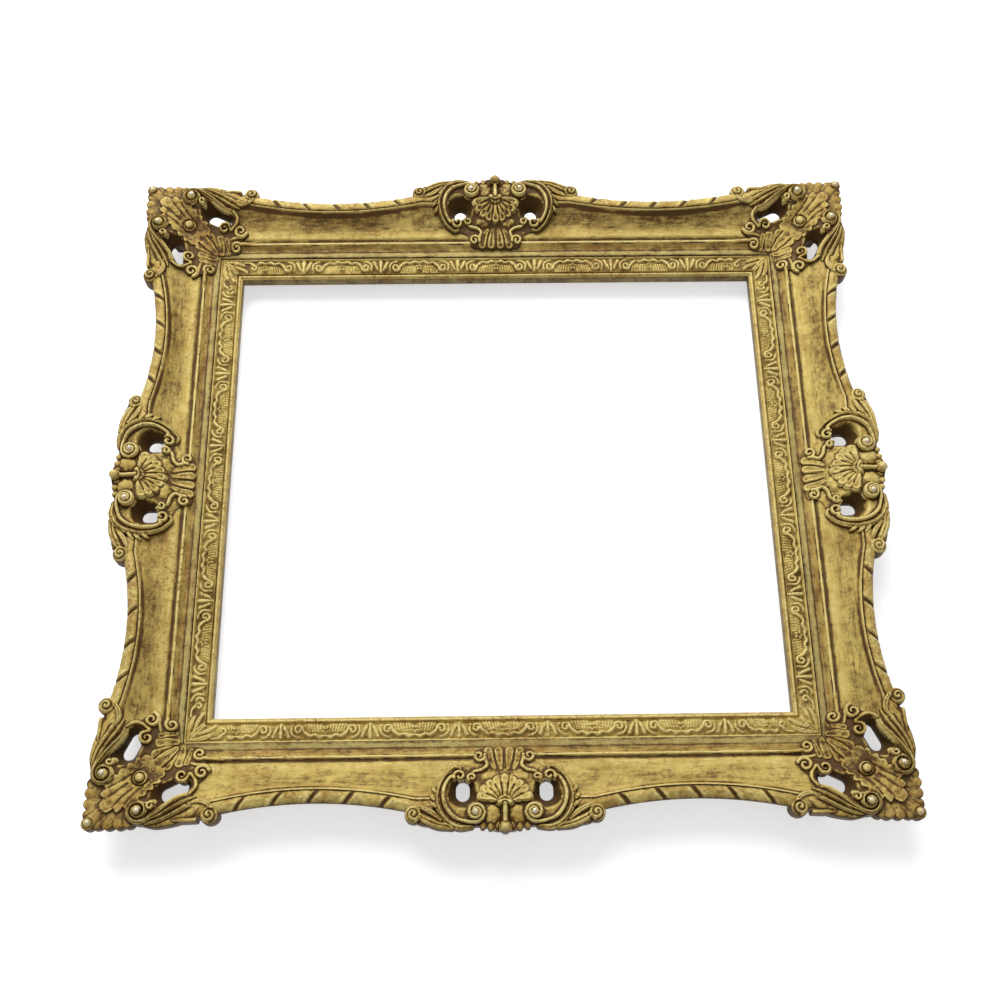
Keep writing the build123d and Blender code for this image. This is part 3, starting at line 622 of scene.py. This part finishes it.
def carve_mesh(name, relief, under, place, mirrored, wash_and_shade):
    """Closed solid between a relief's face and its underside, set in place."""
    cells, cuts, rim = outline_cells(relief.mask)
    with_cuts = cut_filler(relief.mask, cuts, LEAST_CUT)
    x = with_cuts(relief.x)
    y = with_cuts(relief.y)
    z = with_cuts(relief.top)
    low = np.minimum(with_cuts(under), z - LEAST_THICKNESS)
    used = np.unique(np.concatenate([np.array(cell) for cell in cells]))
    order = np.full(len(x), -1)
    order[used] = np.arange(len(used))
    count = len(used)
    top = [order[cell].tolist() for cell in cells]
    bottom = [[k + count for k in reversed(cell)] for cell in top]
    walls = [[order[b], order[a], order[a] + count, order[b] + count] for a, b in rim]
    faces = top + bottom + walls
    if mirrored:
        faces = [face[::-1] for face in faces]
    world_x, world_y = place(x[used], y[used])
    points = np.vstack([np.stack([world_x, world_y, height[used]], 1) for height in (z, low)])
    # Whole piece darkened by its painted shade and umber; the underside is painted darkest, as shade under
    # the casting and down the walls of its openings
    cavity = with_cuts(relief.cavity)[used] - wash_and_shade
    worn = with_cuts(relief.worn)[used]
    stain = with_cuts(relief.stain)[used]
    return build_mesh(name, points, faces, cavity=np.concatenate([cavity, cavity - 3]),
                      worn=np.concatenate([worn, 0 * worn]), stain=np.tile(stain, 2))


def on_side(side):
    """Function that takes a side's own axes to the frame's."""
    _, across, angle = SIDES[side]
    c = round(math.cos(math.radians(angle)))
    s = round(math.sin(math.radians(angle)))
    return lambda x, y: (c * x - s * (across + y), s * x + c * (across + y))


def on_corner(corner):
    """Function that takes a corner's own axes to the frame's."""
    x_way, y_way = CORNERS[corner]
    return lambda x, y: (x_way * (HALF_WIDTH + x), y_way * (HALF_HEIGHT + y))


def sweep_mesh(name, loops, **fields):
    """Closed solid through a row of closed sections of equal size."""
    rows, columns, _ = loops.shape
    number = np.arange(rows * columns).reshape(rows, columns)
    following = np.roll(number, -1, axis=1)
    strips = np.stack([number[:-1], following[:-1], following[1:], number[1:]], axis=-1)
    faces = strips.reshape(-1, 4).tolist()
    faces.append(number[0][::-1].tolist())
    faces.append(number[-1].tolist())
    return build_mesh(name, loops.reshape(-1, 3), faces, **{k: v.ravel() for k, v in fields.items()})


def lip_at(along_side, half_run):
    """Distance out of the rail's lip, which sweeps in between the buds."""
    start = SWEEP_START
    end = half_run - SWEEP_END
    t = np.clip((np.abs(along_side) - start) / (end - start), 0, 1) * 2 - 1
    return LIP_NARROW + (LIP_WIDE - LIP_NARROW) * t * t


def bow_points(start, end, sag, count):
    """Points on a shallow arc from start to end, bowed to the left of its way by sag."""
    start = np.array(start, float)
    end = np.array(end, float)
    way = end - start
    aside = np.array([-way[1], way[0]]) / np.linalg.norm(way)
    t = np.linspace(0, 1, count)[:, None]
    return start + way * t + aside * 4 * sag * t * (1 - t)


def rail_profile(lip):
    """Front of the moulding from the liner to the lip, as (out, height)."""
    ridge_end = RIDGE_START + RIDGE_WIDTH
    return np.vstack([
        bow_points((RAIL_INNER, FILLET_HEIGHT), (FILLET_END, FILLET_HEIGHT), 0, 6),
        bow_points((FILLET_END, FILLET_HEIGHT + 0.2), (RIDGE_START, RIDGE_BASE), -0.8, 8),
        bow_points((RIDGE_START, RIDGE_BASE), (ridge_end, RIDGE_BASE), RIDGE_RISE, 9),
        bow_points((ridge_end + 0.7, RIDGE_BASE - 0.6), (COVE_START, COVE_FOOT), -0.2, 5),
        bow_points((COVE_START, COVE_FOOT), (lip, LIP_HEIGHT), -COVE_SAG, 20)[1:],
        bow_points((lip, LIP_HEIGHT), (lip + LIP_WIDTH, LIP_HEIGHT), 0.3, 4)[1:],
    ])


def rail_grid(half_run):
    """Front of a rail as a grid of places along it, out from the sight edge and up."""
    share = np.linspace(-1, 1, 2 * int((half_run + LIP_WIDE) / RAIL_STEP) + 1)[:, None]
    narrow = rail_profile(LIP_NARROW)
    nominal = rail_profile(LIP_WIDE)
    x = share * (half_run + nominal[:, 0])
    for _ in range(5):
        swell = (lip_at(x, half_run) - LIP_NARROW) / (LIP_WIDE - LIP_NARROW)
        y = narrow[:, 0] + swell * (nominal[:, 0] - narrow[:, 0])
        x = share * (half_run + y)
    z = narrow[:, 1] + swell * (nominal[:, 1] - narrow[:, 1])
    return x, y, z + SKIN + 0.18 * wander(x, y, 9.0, 31) + 0.05 * wander(x / 4, y, 1.2, 32)


def rail_wear(side, x, y):
    """Fields of a rail's gilding: painted shade in its recesses and creases, a painted shadow inside the
    lip, painted shade per side over the cove, russet stain and olive fillet.
    """
    height = rail_profile(LIP_WIDE)[:, 1]
    smooth = np.convolve(np.pad(height, 6, "edge"), np.ones(13) / 13, "valid")
    # Painted shade in the hollows of the profile and painted highlight on its rounds
    cavity = np.tile(height - smooth, (len(x), 1))
    from_lip = lip_at(x, SIDES[side][0]) - y
    uneven = wander(x, y, 23.0, 33)
    shade = LIP_SHADE[side]
    # Painted shade along the creases of the moulding
    for place, depth in RAIL_LINES:
        cavity -= (depth + 0.4 * uneven) * np.exp(-((y - place) / RAIL_LINE_WIDTH) ** 2)
    # Painted shadow of the lip, a dark strip just inside it
    cavity -= (2.0 + 0.9 * uneven) * np.exp(-((from_lip - 0.3 - shade / 2) / (0.55 * shade)) ** 4)
    # Painted shade over the cove, set per side, with russet stain in the same patches
    wash_and_shade = COVE_SHADE_AND_STAIN[side] * (1 + 0.8 * uneven) * np.clip((y - COVE_START) / 10, 0, 1)
    cavity -= 0.6 * wash_and_shade
    # Cove made paler near its foot, and painted shade in a band under the lip
    cavity += 0.3 * np.exp(-((y - COVE_PALER_BAND) / 4.5) ** 2) - 0.12 * np.exp(-((from_lip - 6) / 4) ** 2)
    stain = (0.75 + 0.25 * uneven) * np.exp(-((y - HOLLOW_MIDDLE) / 2.6) ** 4)
    stain += 0.5 * np.exp(-((from_lip - 2) / 2.5) ** 2) + 0.7 * wash_and_shade
    return {"cavity": cavity, "aged": np.exp(-((y - FILLET_MIDDLE) / 3.2) ** 4), "stain": stain,
            "along": x * MM, "across": y * MM}


def rail_skin(side):
    """Gilded gesso over the front of a rail, open at its wells."""
    half_run = SIDES[side][0]
    x, y, z = rail_grid(half_run)
    corner_place = (half_run + CORNER_WELL[0], CORNER_WELL[1])
    corner_ends = slot_ends(corner_place, CORNER_WELL_RUN, CORNER_WELL_TURN)
    centre_ends = slot_ends(CENTRE_WELL, CENTRE_WELL_RUN, CENTRE_WELL_TURN)
    gap = np.minimum(*[slot_distance(np.abs(x), y, ends) for ends in (corner_ends, centre_ends)])
    mask = WELL_SKIN_RADIUS - gap
    cells, cuts, _ = outline_cells(mask)
    with_cuts = cut_filler(mask, cuts)
    world_x, world_y = on_side(side)(with_cuts(x), with_cuts(y))
    points = np.stack([world_x, world_y, with_cuts(z)], 1)
    fields = {field: with_cuts(values) for field, values in rail_wear(side, x, y).items()}
    piece = build_mesh("gilt_rail_" + side, points, cells, **fields)
    thick = piece.modifiers.new("gesso", "SOLIDIFY")
    thick.thickness = SKIN_THICKNESS * MM
    thick.offset = -1
    return piece


def pattern_height(pattern, x, y):
    """Height of a relief at the nearest point of its grid."""
    column = np.rint((x - pattern.low[0]) / GRID).astype(int)
    row = np.rint((y - pattern.low[1]) / GRID).astype(int)
    columns, rows = pattern.top.shape
    return pattern.top[np.clip(column, 0, columns - 1), np.clip(row, 0, rows - 1)]


def liner_piece(side, pattern, mitre_pattern):
    """Whole liner: sight bead, running ornament, border bead and rebated back."""
    half_run = SIDES[side][0]
    count = 2 * int((half_run + LINER_FACE) / LINER_STEP) + 1
    share = np.linspace(-1, 1, count)
    band_out = np.linspace(BAND_START, BAND_END, 27)
    band_crown = bow_points((0, 0), (1, 0), 0.9, len(band_out))[:, 1]
    front = np.vstack([
        [(0.0, WALL_FOOT), (0.0, WALL_TOP), (0.5, SIGHT_HEIGHT)],
        bow_points((1.2, SIGHT_HEIGHT), (4.6, SIGHT_HEIGHT), 1.6, 7),
        [(5.0, 24.6)],
        np.column_stack([band_out, BAND_HEIGHT + band_crown]),
        bow_points((BAND_END + 0.3, BAND_HEIGHT), (LINER_FACE, BAND_HEIGHT - 0.2), 1.1, 6),
    ])
    back = np.array([(LINER_FACE, FLANGE_HEIGHT), (LINER_FLANGE, FLANGE_HEIGHT), (LINER_FLANGE, LEDGE),
                     (REBATE_WIDTH, LEDGE), (REBATE_WIDTH, REBATE_ROOF), (0.0, REBATE_ROOF)])
    section = np.vstack([front, back])
    x = share[:, None] * (half_run + section[None, :, 0])
    y = np.tile(section[:, 0], (count, 1))
    z = np.tile(section[:, 1], (count, 1))
    folded = np.abs((x + REPEAT / 2) % REPEAT - REPEAT / 2)
    past_corner = np.abs(x) - half_run
    carving = np.where(past_corner > MITRE_LEAF, pattern_height(mitre_pattern, past_corner, y),
                       pattern_height(pattern, folded, y))
    band = (y > BAND_START) & (y < BAND_END) & (z > BAND_HEIGHT - 1)
    carving = np.where(band, carving, 0.0)
    z = z + carving + np.where(z > SIGHT_HEIGHT - 1, 0.12 * wander(x, y, 6.0, 41), 0)
    face = z[:, :len(front)]
    # Painted shade in the recesses of the carving and painted highlight on its heights, each side made
    # lighter or darker as painted light
    smooth = blur(face, np.ones(face.shape), 3)
    # The back and rebate are painted darkest, as shade
    cavity = np.full(z.shape, -1.0)
    cavity[:, :len(front)] = np.maximum(1.6 * (face - smooth), -0.7) + LINER_PAINTED_LIGHT[side]
    # Painted shade on the sight wall, in olive grey
    wall = y < 0.3
    cavity[wall] = -0.6
    stain = np.where(y < BAND_START, 0.4, 0.05)
    world_x, world_y = on_side(side)(x, y)
    loops = np.stack([world_x, world_y, z], -1)
    return sweep_mesh("gilt_liner_" + side, loops[:, ::-1], cavity=cavity[:, ::-1], stain=stain[:, ::-1],
                      aged=np.where(wall, 1.6, 0.0)[:, ::-1])


def ribbon_piece(side, way, end_name):
    """Ribbon edge of half a side. Its cuts have raised edges and lean out, away from the side's middle."""
    half_run = SIDES[side][0]
    sweep_end = half_run - SWEEP_END
    stations = np.arange(SWEEP_START - RIBBON_TUCK, sweep_end + RIBBON_TUCK, RIBBON_STATION)[:, None]
    lip = lip_at(stations, half_run)
    t = np.linspace(0, 1, 25)
    middle = (SWEEP_START + sweep_end) / 2
    count = int((sweep_end - SWEEP_START) / CUT_PITCH)
    phase = (stations - middle - CUT_LEAN * (t - 0.5)) / CUT_PITCH + (count - 1) / 2
    offset = (phase - np.clip(np.round(phase), 0, count - 1)) * CUT_PITCH
    fade = np.clip(1.08 - np.abs(2 * t - 1.04) ** 2.4, 0, 1)
    cut = CUT_EDGE * np.exp(-((np.abs(offset) - 1.8 * CUT_WIDTH) / 1.2) ** 2)
    cut -= CUT_DEPTH * np.exp(-(offset / CUT_WIDTH) ** 2)
    cut = cut * fade + 0.3 * wander(stations + 0 * t, 12 * t + 0 * stations, 2.2, 52)
    # Section: the round face, the under-edge that shows below it, and the back inside the rail
    seat = np.array([(LIP_WIDTH, -RIBBON_STEP), (SEAT_WIDTH, -SEAT_DROP)])
    slope = seat[1] - seat[0]
    aside = np.array([-slope[1], slope[0]]) / np.linalg.norm(slope)
    bulge = RIBBON_CROWN * np.clip(1 - (2 * t - 1) ** 2, 0, 1) ** 0.45
    out = bulge + cut + 0.25 * wander(stations + 0 * t, 20 * t + 0 * stations, 7.0, 51) * fade
    y = np.hstack([lip + seat[0, 0] + slope[0] * t + aside[0] * out, lip + UNDER_EDGE[:, 0]])
    z = np.hstack([LIP_HEIGHT + seat[0, 1] + slope[1] * t + aside[1] * out,
                   LIP_HEIGHT + UNDER_EDGE[:, 1] + 0 * lip])
    x = way * stations + 0 * y
    below = np.zeros((len(stations), len(UNDER_EDGE)))
    segment = 1 - np.exp(-(offset / 7.0) ** 2)
    # Painted shade in the cuts and at both edges of the roll, painted highlight on the raised edges of the
    # cuts and along the crown; the under-edge is olive and painted a little darker as shade
    crown_highlight_edge_shade = 0.42 - 1.9 * np.abs(2 * t - 1) ** 4
    cavity = np.hstack([1.3 * cut + crown_highlight_edge_shade, below - 0.35])
    stain = np.hstack([segment * (0.45 + 0.6 * wander(x[:, :len(t)], y[:, :len(t)], 11.0, 53)), below])
    aged = np.hstack([0 * cut, below + 1.0])
    world_x, world_y = on_side(side)(x, y)
    loops = np.stack([world_x, world_y, z], -1)
    turn = slice(None, None, -way)
    return sweep_mesh("gilt_ribbon_" + side + "_" + end_name, loops[:, turn], cavity=cavity[:, turn],
                      stain=stain[:, turn], aged=aged[:, turn])


class Nodes:
    """Short way to build a material's nodes."""

    def __init__(self, name):
        self.material = bpy.data.materials.new(name)
        self.material.use_nodes = True
        self.tree = self.material.node_tree
        self.shader = self.tree.nodes["Principled BSDF"]
        self.coordinates = self.add("ShaderNodeTexCoord").outputs["Object"]

    def add(self, kind, **settings):
        node = self.tree.nodes.new(kind)
        for key, value in settings.items():
            setattr(node, key, value)
        return node

    def put(self, socket, value):
        """Link an output to a socket, or set the socket's own value."""
        if isinstance(value, bpy.types.NodeSocket):
            self.tree.links.new(value, socket)
        else:
            socket.default_value = value

    def noise(self, scale, detail=4.0, roughness=0.55, stretch=None, place=None):
        place = place or self.coordinates
        if stretch:
            mapping = self.add("ShaderNodeMapping")
            self.put(mapping.inputs["Vector"], place)
            mapping.inputs["Scale"].default_value = stretch
            place = mapping.outputs["Vector"]
        texture = self.add("ShaderNodeTexNoise")
        self.put(texture.inputs["Vector"], place)
        texture.inputs["Scale"].default_value = scale
        texture.inputs["Detail"].default_value = detail
        texture.inputs["Roughness"].default_value = roughness
        return texture.outputs["Fac"]

    def ramp(self, value, low, high, to_low=0.0, to_high=1.0):
        node = self.add("ShaderNodeMapRange", interpolation_type="SMOOTHSTEP")
        self.put(node.inputs["Value"], value)
        node.inputs["From Min"].default_value = low
        node.inputs["From Max"].default_value = high
        node.inputs["To Min"].default_value = to_low
        node.inputs["To Max"].default_value = to_high
        return node.outputs["Result"]

    def math(self, operation, a, b):
        node = self.add("ShaderNodeMath", operation=operation)
        self.put(node.inputs[0], a)
        self.put(node.inputs[1], b)
        return node.outputs["Value"]

    def vary(self, level, noise, middle, amount):
        """A level raised and lowered by a noise about its middle."""
        return self.math("ADD", level, self.math("MULTIPLY", self.math("SUBTRACT", noise, middle), amount))

    def mix(self, share, a, b):
        node = self.add("ShaderNodeMix", data_type="RGBA")
        self.put(node.inputs["Factor"], share)
        self.put(node.inputs["A"], a)
        self.put(node.inputs["B"], b)
        return node.outputs["Result"]

    def field(self, name):
        return self.add("ShaderNodeAttribute", attribute_name=name).outputs["Fac"]

    def side_place(self, stretch):
        """Place along and across a rail's side, drawn out along it."""
        node = self.add("ShaderNodeCombineXYZ")
        self.put(node.inputs["X"], self.math("MULTIPLY", self.field("along"), 1 / stretch))
        self.put(node.inputs["Y"], self.field("across"))
        return node.outputs["Vector"]

    def bump(self, height, strength, distance):
        node = self.add("ShaderNodeBump")
        node.inputs["Strength"].default_value = strength
        node.inputs["Distance"].default_value = distance
        self.put(node.inputs["Height"], height)
        self.put(self.shader.inputs["Normal"], node.outputs["Normal"])


# Colours of the gilding and of its painted highlight, glint and shade, the bare wood, the metals and the
# floor
STRAW = (0.64, 0.485, 0.135, 1)
PALE = (0.83, 0.69, 0.275, 1)
OCHRE = (0.45, 0.305, 0.066, 1)
BROWN = (0.23, 0.125, 0.026, 1)
UMBER = (0.085, 0.040, 0.010, 1)
RUSSET = (0.30, 0.130, 0.026, 1)
OLIVE = (0.33, 0.30, 0.13, 1)
GLINT_WHITE = (0.88, 0.84, 0.70, 1)
WOOD_DARK = (0.055, 0.026, 0.010, 1)
WOOD_LIGHT = (0.13, 0.068, 0.028, 1)
WOOD_SHADE = (0.03, 0.016, 0.008, 1)
BRASS_LIGHT = (0.62, 0.45, 0.18, 1)
BRASS_DARK = (0.30, 0.19, 0.07, 1)
STEEL_LIGHT = (0.50, 0.49, 0.47, 1)
STEEL_DARK = (0.24, 0.20, 0.16, 1)
FLOOR_DARK = (0.86, 0.86, 0.87, 1)
FLOOR_LIGHT = (0.90, 0.90, 0.90, 1)
WHITE = (1, 1, 1, 1)


def gilding(name, streaked=False):
    """Antique gold over gesso: straw gold, pale heights that are painted highlight and wear, umber in the
    recesses that is painted shade and toning, white painted glints, olive and olive painted shade, russet
    stains.
    On the rails the gold is also brushed out in streaks along each side."""
    n = Nodes(name)
    mottle = n.noise(34, 9, 0.74)
    speck = n.noise(300, 9, 0.8)
    grain = n.noise(1500, 3, 0.6)
    patches = n.noise(14, 6, 0.62)
    blotch = n.noise(120, 7, 0.72)
    level = n.vary(n.field("cavity"), speck, 0.5, 2.6)
    if streaked:
        broad = n.noise(170, 7, 0.74, place=n.side_place(6))
        mottle = n.math("MULTIPLY", n.math("ADD", mottle, broad), 0.5)
        fine = n.noise(560, 5, 0.74, place=n.side_place(8))
        level = n.vary(level, fine, 0.46, 1.8)
    level = n.vary(level, mottle, 0.5, 1.6)
    level = n.vary(level, patches, 0.5, 0.8)
    level = n.vary(level, blotch, 0.48, 1.7)
    colour = n.mix(n.ramp(mottle, 0.38, 0.58), OCHRE, STRAW)
    # Olive on the fillet, and olive grey painted shade on the liner's sight wall
    colour = n.mix(n.math("MULTIPLY", n.field("aged"), 0.5), colour, OLIVE)
    # Pale gold on the heights: painted highlight and wear
    colour = n.mix(n.ramp(level, 0.1, 1.2, 0.0, 0.9), colour, PALE)
    flecks = n.math("MULTIPLY", n.ramp(speck, 0.51, 0.57), n.ramp(patches, 0.44, 0.60))
    colour = n.mix(n.math("MULTIPLY", flecks, 0.75), colour, BROWN)
    where = n.math("ADD", n.ramp(patches, 0.55, 0.68, 0.0, 0.5), n.field("stain"))
    where = n.math("ADD", where, n.ramp(blotch, 0.50, 0.36, 0.0, 0.5))
    stain = n.math("MULTIPLY", where, n.ramp(speck, 0.40, 0.60, 0.15, 1.0))
    colour = n.mix(n.math("MINIMUM", n.math("MULTIPLY", stain, 0.75), 0.8), colour, RUSSET)
    # Umber in the recesses: painted shade and toning
    colour = n.mix(n.ramp(level, 0.0, -1.1, 0.0, 0.97), colour, UMBER)
    # White painted glint on the crowns of the beads
    worn = n.math("MULTIPLY", n.field("worn"), n.ramp(speck, 0.40, 0.52))
    colour = n.mix(n.ramp(worn, 0.3, 0.9, 0.0, 0.9), colour, GLINT_WHITE)
    n.put(n.shader.inputs["Base Color"], colour)
    n.shader.inputs["Specular IOR Level"].default_value = 0.25
    n.put(n.shader.inputs["Metallic"], n.ramp(worn, 0.2, 0.9, 0.2, 0.5))
    rough = n.ramp(speck, 0.3, 0.7, 0.38, 0.58)
    n.put(n.shader.inputs["Roughness"], n.math("SUBTRACT", rough, n.math("MULTIPLY", worn, 0.26)))
    n.bump(n.math("ADD", grain, n.math("MULTIPLY", speck, 2.0)), 0.5, 0.0007)
    return n.material


def old_wood():
    """Bare wood of the back: long grain, dark with age."""
    n = Nodes("aged_wood")
    grain = n.noise(30, 6, 0.6, stretch=(1, 12, 12))
    fine = n.noise(900, 4, 0.6)
    colour = n.mix(n.ramp(grain, 0.3, 0.7), WOOD_DARK, WOOD_LIGHT)
    colour = n.mix(n.ramp(n.noise(9, 4), 0.5, 0.75, 0, 0.6), colour, WOOD_SHADE)
    n.put(n.shader.inputs["Base Color"], colour)
    n.put(n.shader.inputs["Roughness"], n.ramp(fine, 0.3, 0.7, 0.6, 0.85))
    n.bump(n.math("ADD", grain, fine), 0.3, 0.0005)
    return n.material


def metal(name, light, dark, roughness):
    """Worn metal with tarnish in patches."""
    n = Nodes(name)
    tarnish = n.noise(240, 5, 0.6)
    scratch = n.noise(1800, 2, 0.5, stretch=(1, 6, 1))
    n.put(n.shader.inputs["Base Color"], n.mix(n.ramp(tarnish, 0.4, 0.7), light, dark))
    n.shader.inputs["Metallic"].default_value = 1.0
    n.put(n.shader.inputs["Roughness"], n.ramp(scratch, 0.3, 0.7, roughness, roughness + 0.2))
    n.bump(scratch, 0.15, 0.0002)
    return n.material


def dress(piece, material, *nodes, slot):
    """Give a piece its finish, let it ride on the frame and stand for its CAD nodes."""
    piece.data.materials.clear()
    piece.data.materials.append(material)
    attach(piece, "frame")
    if nodes:
        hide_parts(*nodes)


gold = gilding("antique_gilding")
brushed_gold = gilding("brushed_gilding", streaked=True)
wood = old_wood()
brass = metal("tarnished_brass", BRASS_LIGHT, BRASS_DARK, 0.32)
steel = metal("dull_steel", STEEL_LIGHT, STEEL_DARK, 0.36)

corner_form = corner_relief()
corner_under = under_at(np.maximum(corner_form.x, corner_form.y))
for corner, (x_way, y_way) in CORNERS.items():
    piece = carve_mesh("carved_corner_" + corner, corner_form, corner_under, on_corner(corner),
                       x_way * y_way < 0, CORNER_UMBER_AND_SHADE[corner])
    dress(piece, gold, "corner_cartouche_" + corner, slot="gilded_ornament")

centre_form = centre_relief()
centre_under = under_at(centre_form.y)
running_ornament = liner_relief()
mitre_ornament = liner_corner_relief()
for side in SIDES:
    piece = carve_mesh("carved_centre_" + side, centre_form, centre_under, on_side(side),
                       False, CENTRE_PAINTED_SHADE[side])
    dress(piece, gold, "centre_cartouche_" + side, slot="gilded_ornament")
    dress(rail_skin(side), brushed_gold, slot="gilded_rail")
    dress(liner_piece(side, running_ornament, mitre_ornament), gold, "liner_" + side, slot="gilded_liner")

for side, ends in RIBBON_ENDS.items():
    for way, end_name in zip((-1, 1), ends):
        piece = ribbon_piece(side, way, end_name)
        dress(piece, gold, "ribbon_" + side + "_" + end_name, slot="gilded_ornament")

for name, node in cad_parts.items():
    if name.startswith("rail_") and name != "rail_nails":
        finish = wood
    elif name.startswith("turn_button"):
        finish = brass
    else:
        finish = steel
    node.data.materials.clear()
    node.data.materials.append(finish)

# Stage: pale floor, soft light from the upper left, and the photograph's camera
KEY_PLACE = (-0.45, 1.6, 1.9)
KEY_SIZE = 2.2
KEY_POWER = 67
AMBIENT = 0.34
FLOOR_REACH = 4.0
FLOOR_DROP = 0.0002
FLOOR_GLOW = 0.58
SENSOR = 36
LENS = 48.06
CAMERA_PLACE = (-0.01666, -0.49871, 1.15370)
CAMERA_RIGHT = (0.999851, -0.015018, 0.008507)
CAMERA_UP = (0.010494, 0.920239, 0.391216)
CAMERA_BACK = (-0.013703, -0.391068, 0.920260)


def pale_floor():
    """Pale table top that looks white and keeps the frame's shadow."""
    n = Nodes("pale_floor")
    n.put(n.shader.inputs["Base Color"], n.mix(n.ramp(n.noise(6, 2), 0.3, 0.7), FLOOR_DARK, FLOOR_LIGHT))
    n.shader.inputs["Roughness"].default_value = 0.7
    n.shader.inputs["Emission Color"].default_value = WHITE
    rays = n.add("ShaderNodeLightPath").outputs
    bounced = n.math("ADD", rays["Is Glossy Ray"], rays["Is Transmission Ray"])
    seen = n.math("MINIMUM", n.math("ADD", rays["Is Camera Ray"], bounced), 1.0)
    n.put(n.shader.inputs["Emission Strength"], n.math("MULTIPLY", seen, FLOOR_GLOW))
    return n.material


def lay_floor():
    """Floor just under the back of the frame."""
    mesh = bpy.data.meshes.new("floor")
    ends = [(-1, -1), (1, -1), (1, 1), (-1, 1)]
    mesh.from_pydata([(FLOOR_REACH * x, FLOOR_REACH * y, 0) for x, y in ends], [], [(0, 1, 2, 3)])
    floor = bpy.data.objects.new("floor", mesh)
    floor.location.z = -FLOOR_DROP
    bpy.context.collection.objects.link(floor)
    mesh.materials.append(pale_floor())


def light_stage():
    """One broad lamp and an even sky."""
    key = bpy.data.lights.new("key", "AREA")
    key.shape = "DISK"
    key.size = KEY_SIZE
    key.energy = KEY_POWER
    lamp = bpy.data.objects.new("key", key)
    lamp.location = KEY_PLACE
    lamp.rotation_euler = (-Vector(KEY_PLACE)).to_track_quat("-Z", "Y").to_euler()
    bpy.context.collection.objects.link(lamp)
    world = bpy.data.worlds.new("studio")
    world.use_nodes = True
    sky = world.node_tree.nodes["Background"]
    sky.inputs["Color"].default_value = WHITE
    sky.inputs["Strength"].default_value = AMBIENT
    bpy.context.scene.world = world


def place_camera():
    """Camera fitted to the straight lines of the frame in the photograph."""
    camera = bpy.data.cameras.new("camera")
    camera.sensor_width = SENSOR
    camera.lens = LENS
    viewer = bpy.data.objects.new("camera", camera)
    turn = Matrix((CAMERA_RIGHT, CAMERA_UP, CAMERA_BACK)).transposed().to_4x4()
    viewer.matrix_world = Matrix.Translation(CAMERA_PLACE) @ turn
    bpy.context.collection.objects.link(viewer)
    bpy.context.scene.camera = viewer
    bpy.context.scene.view_settings.view_transform = "Standard"


lay_floor()
light_stage()
place_camera()
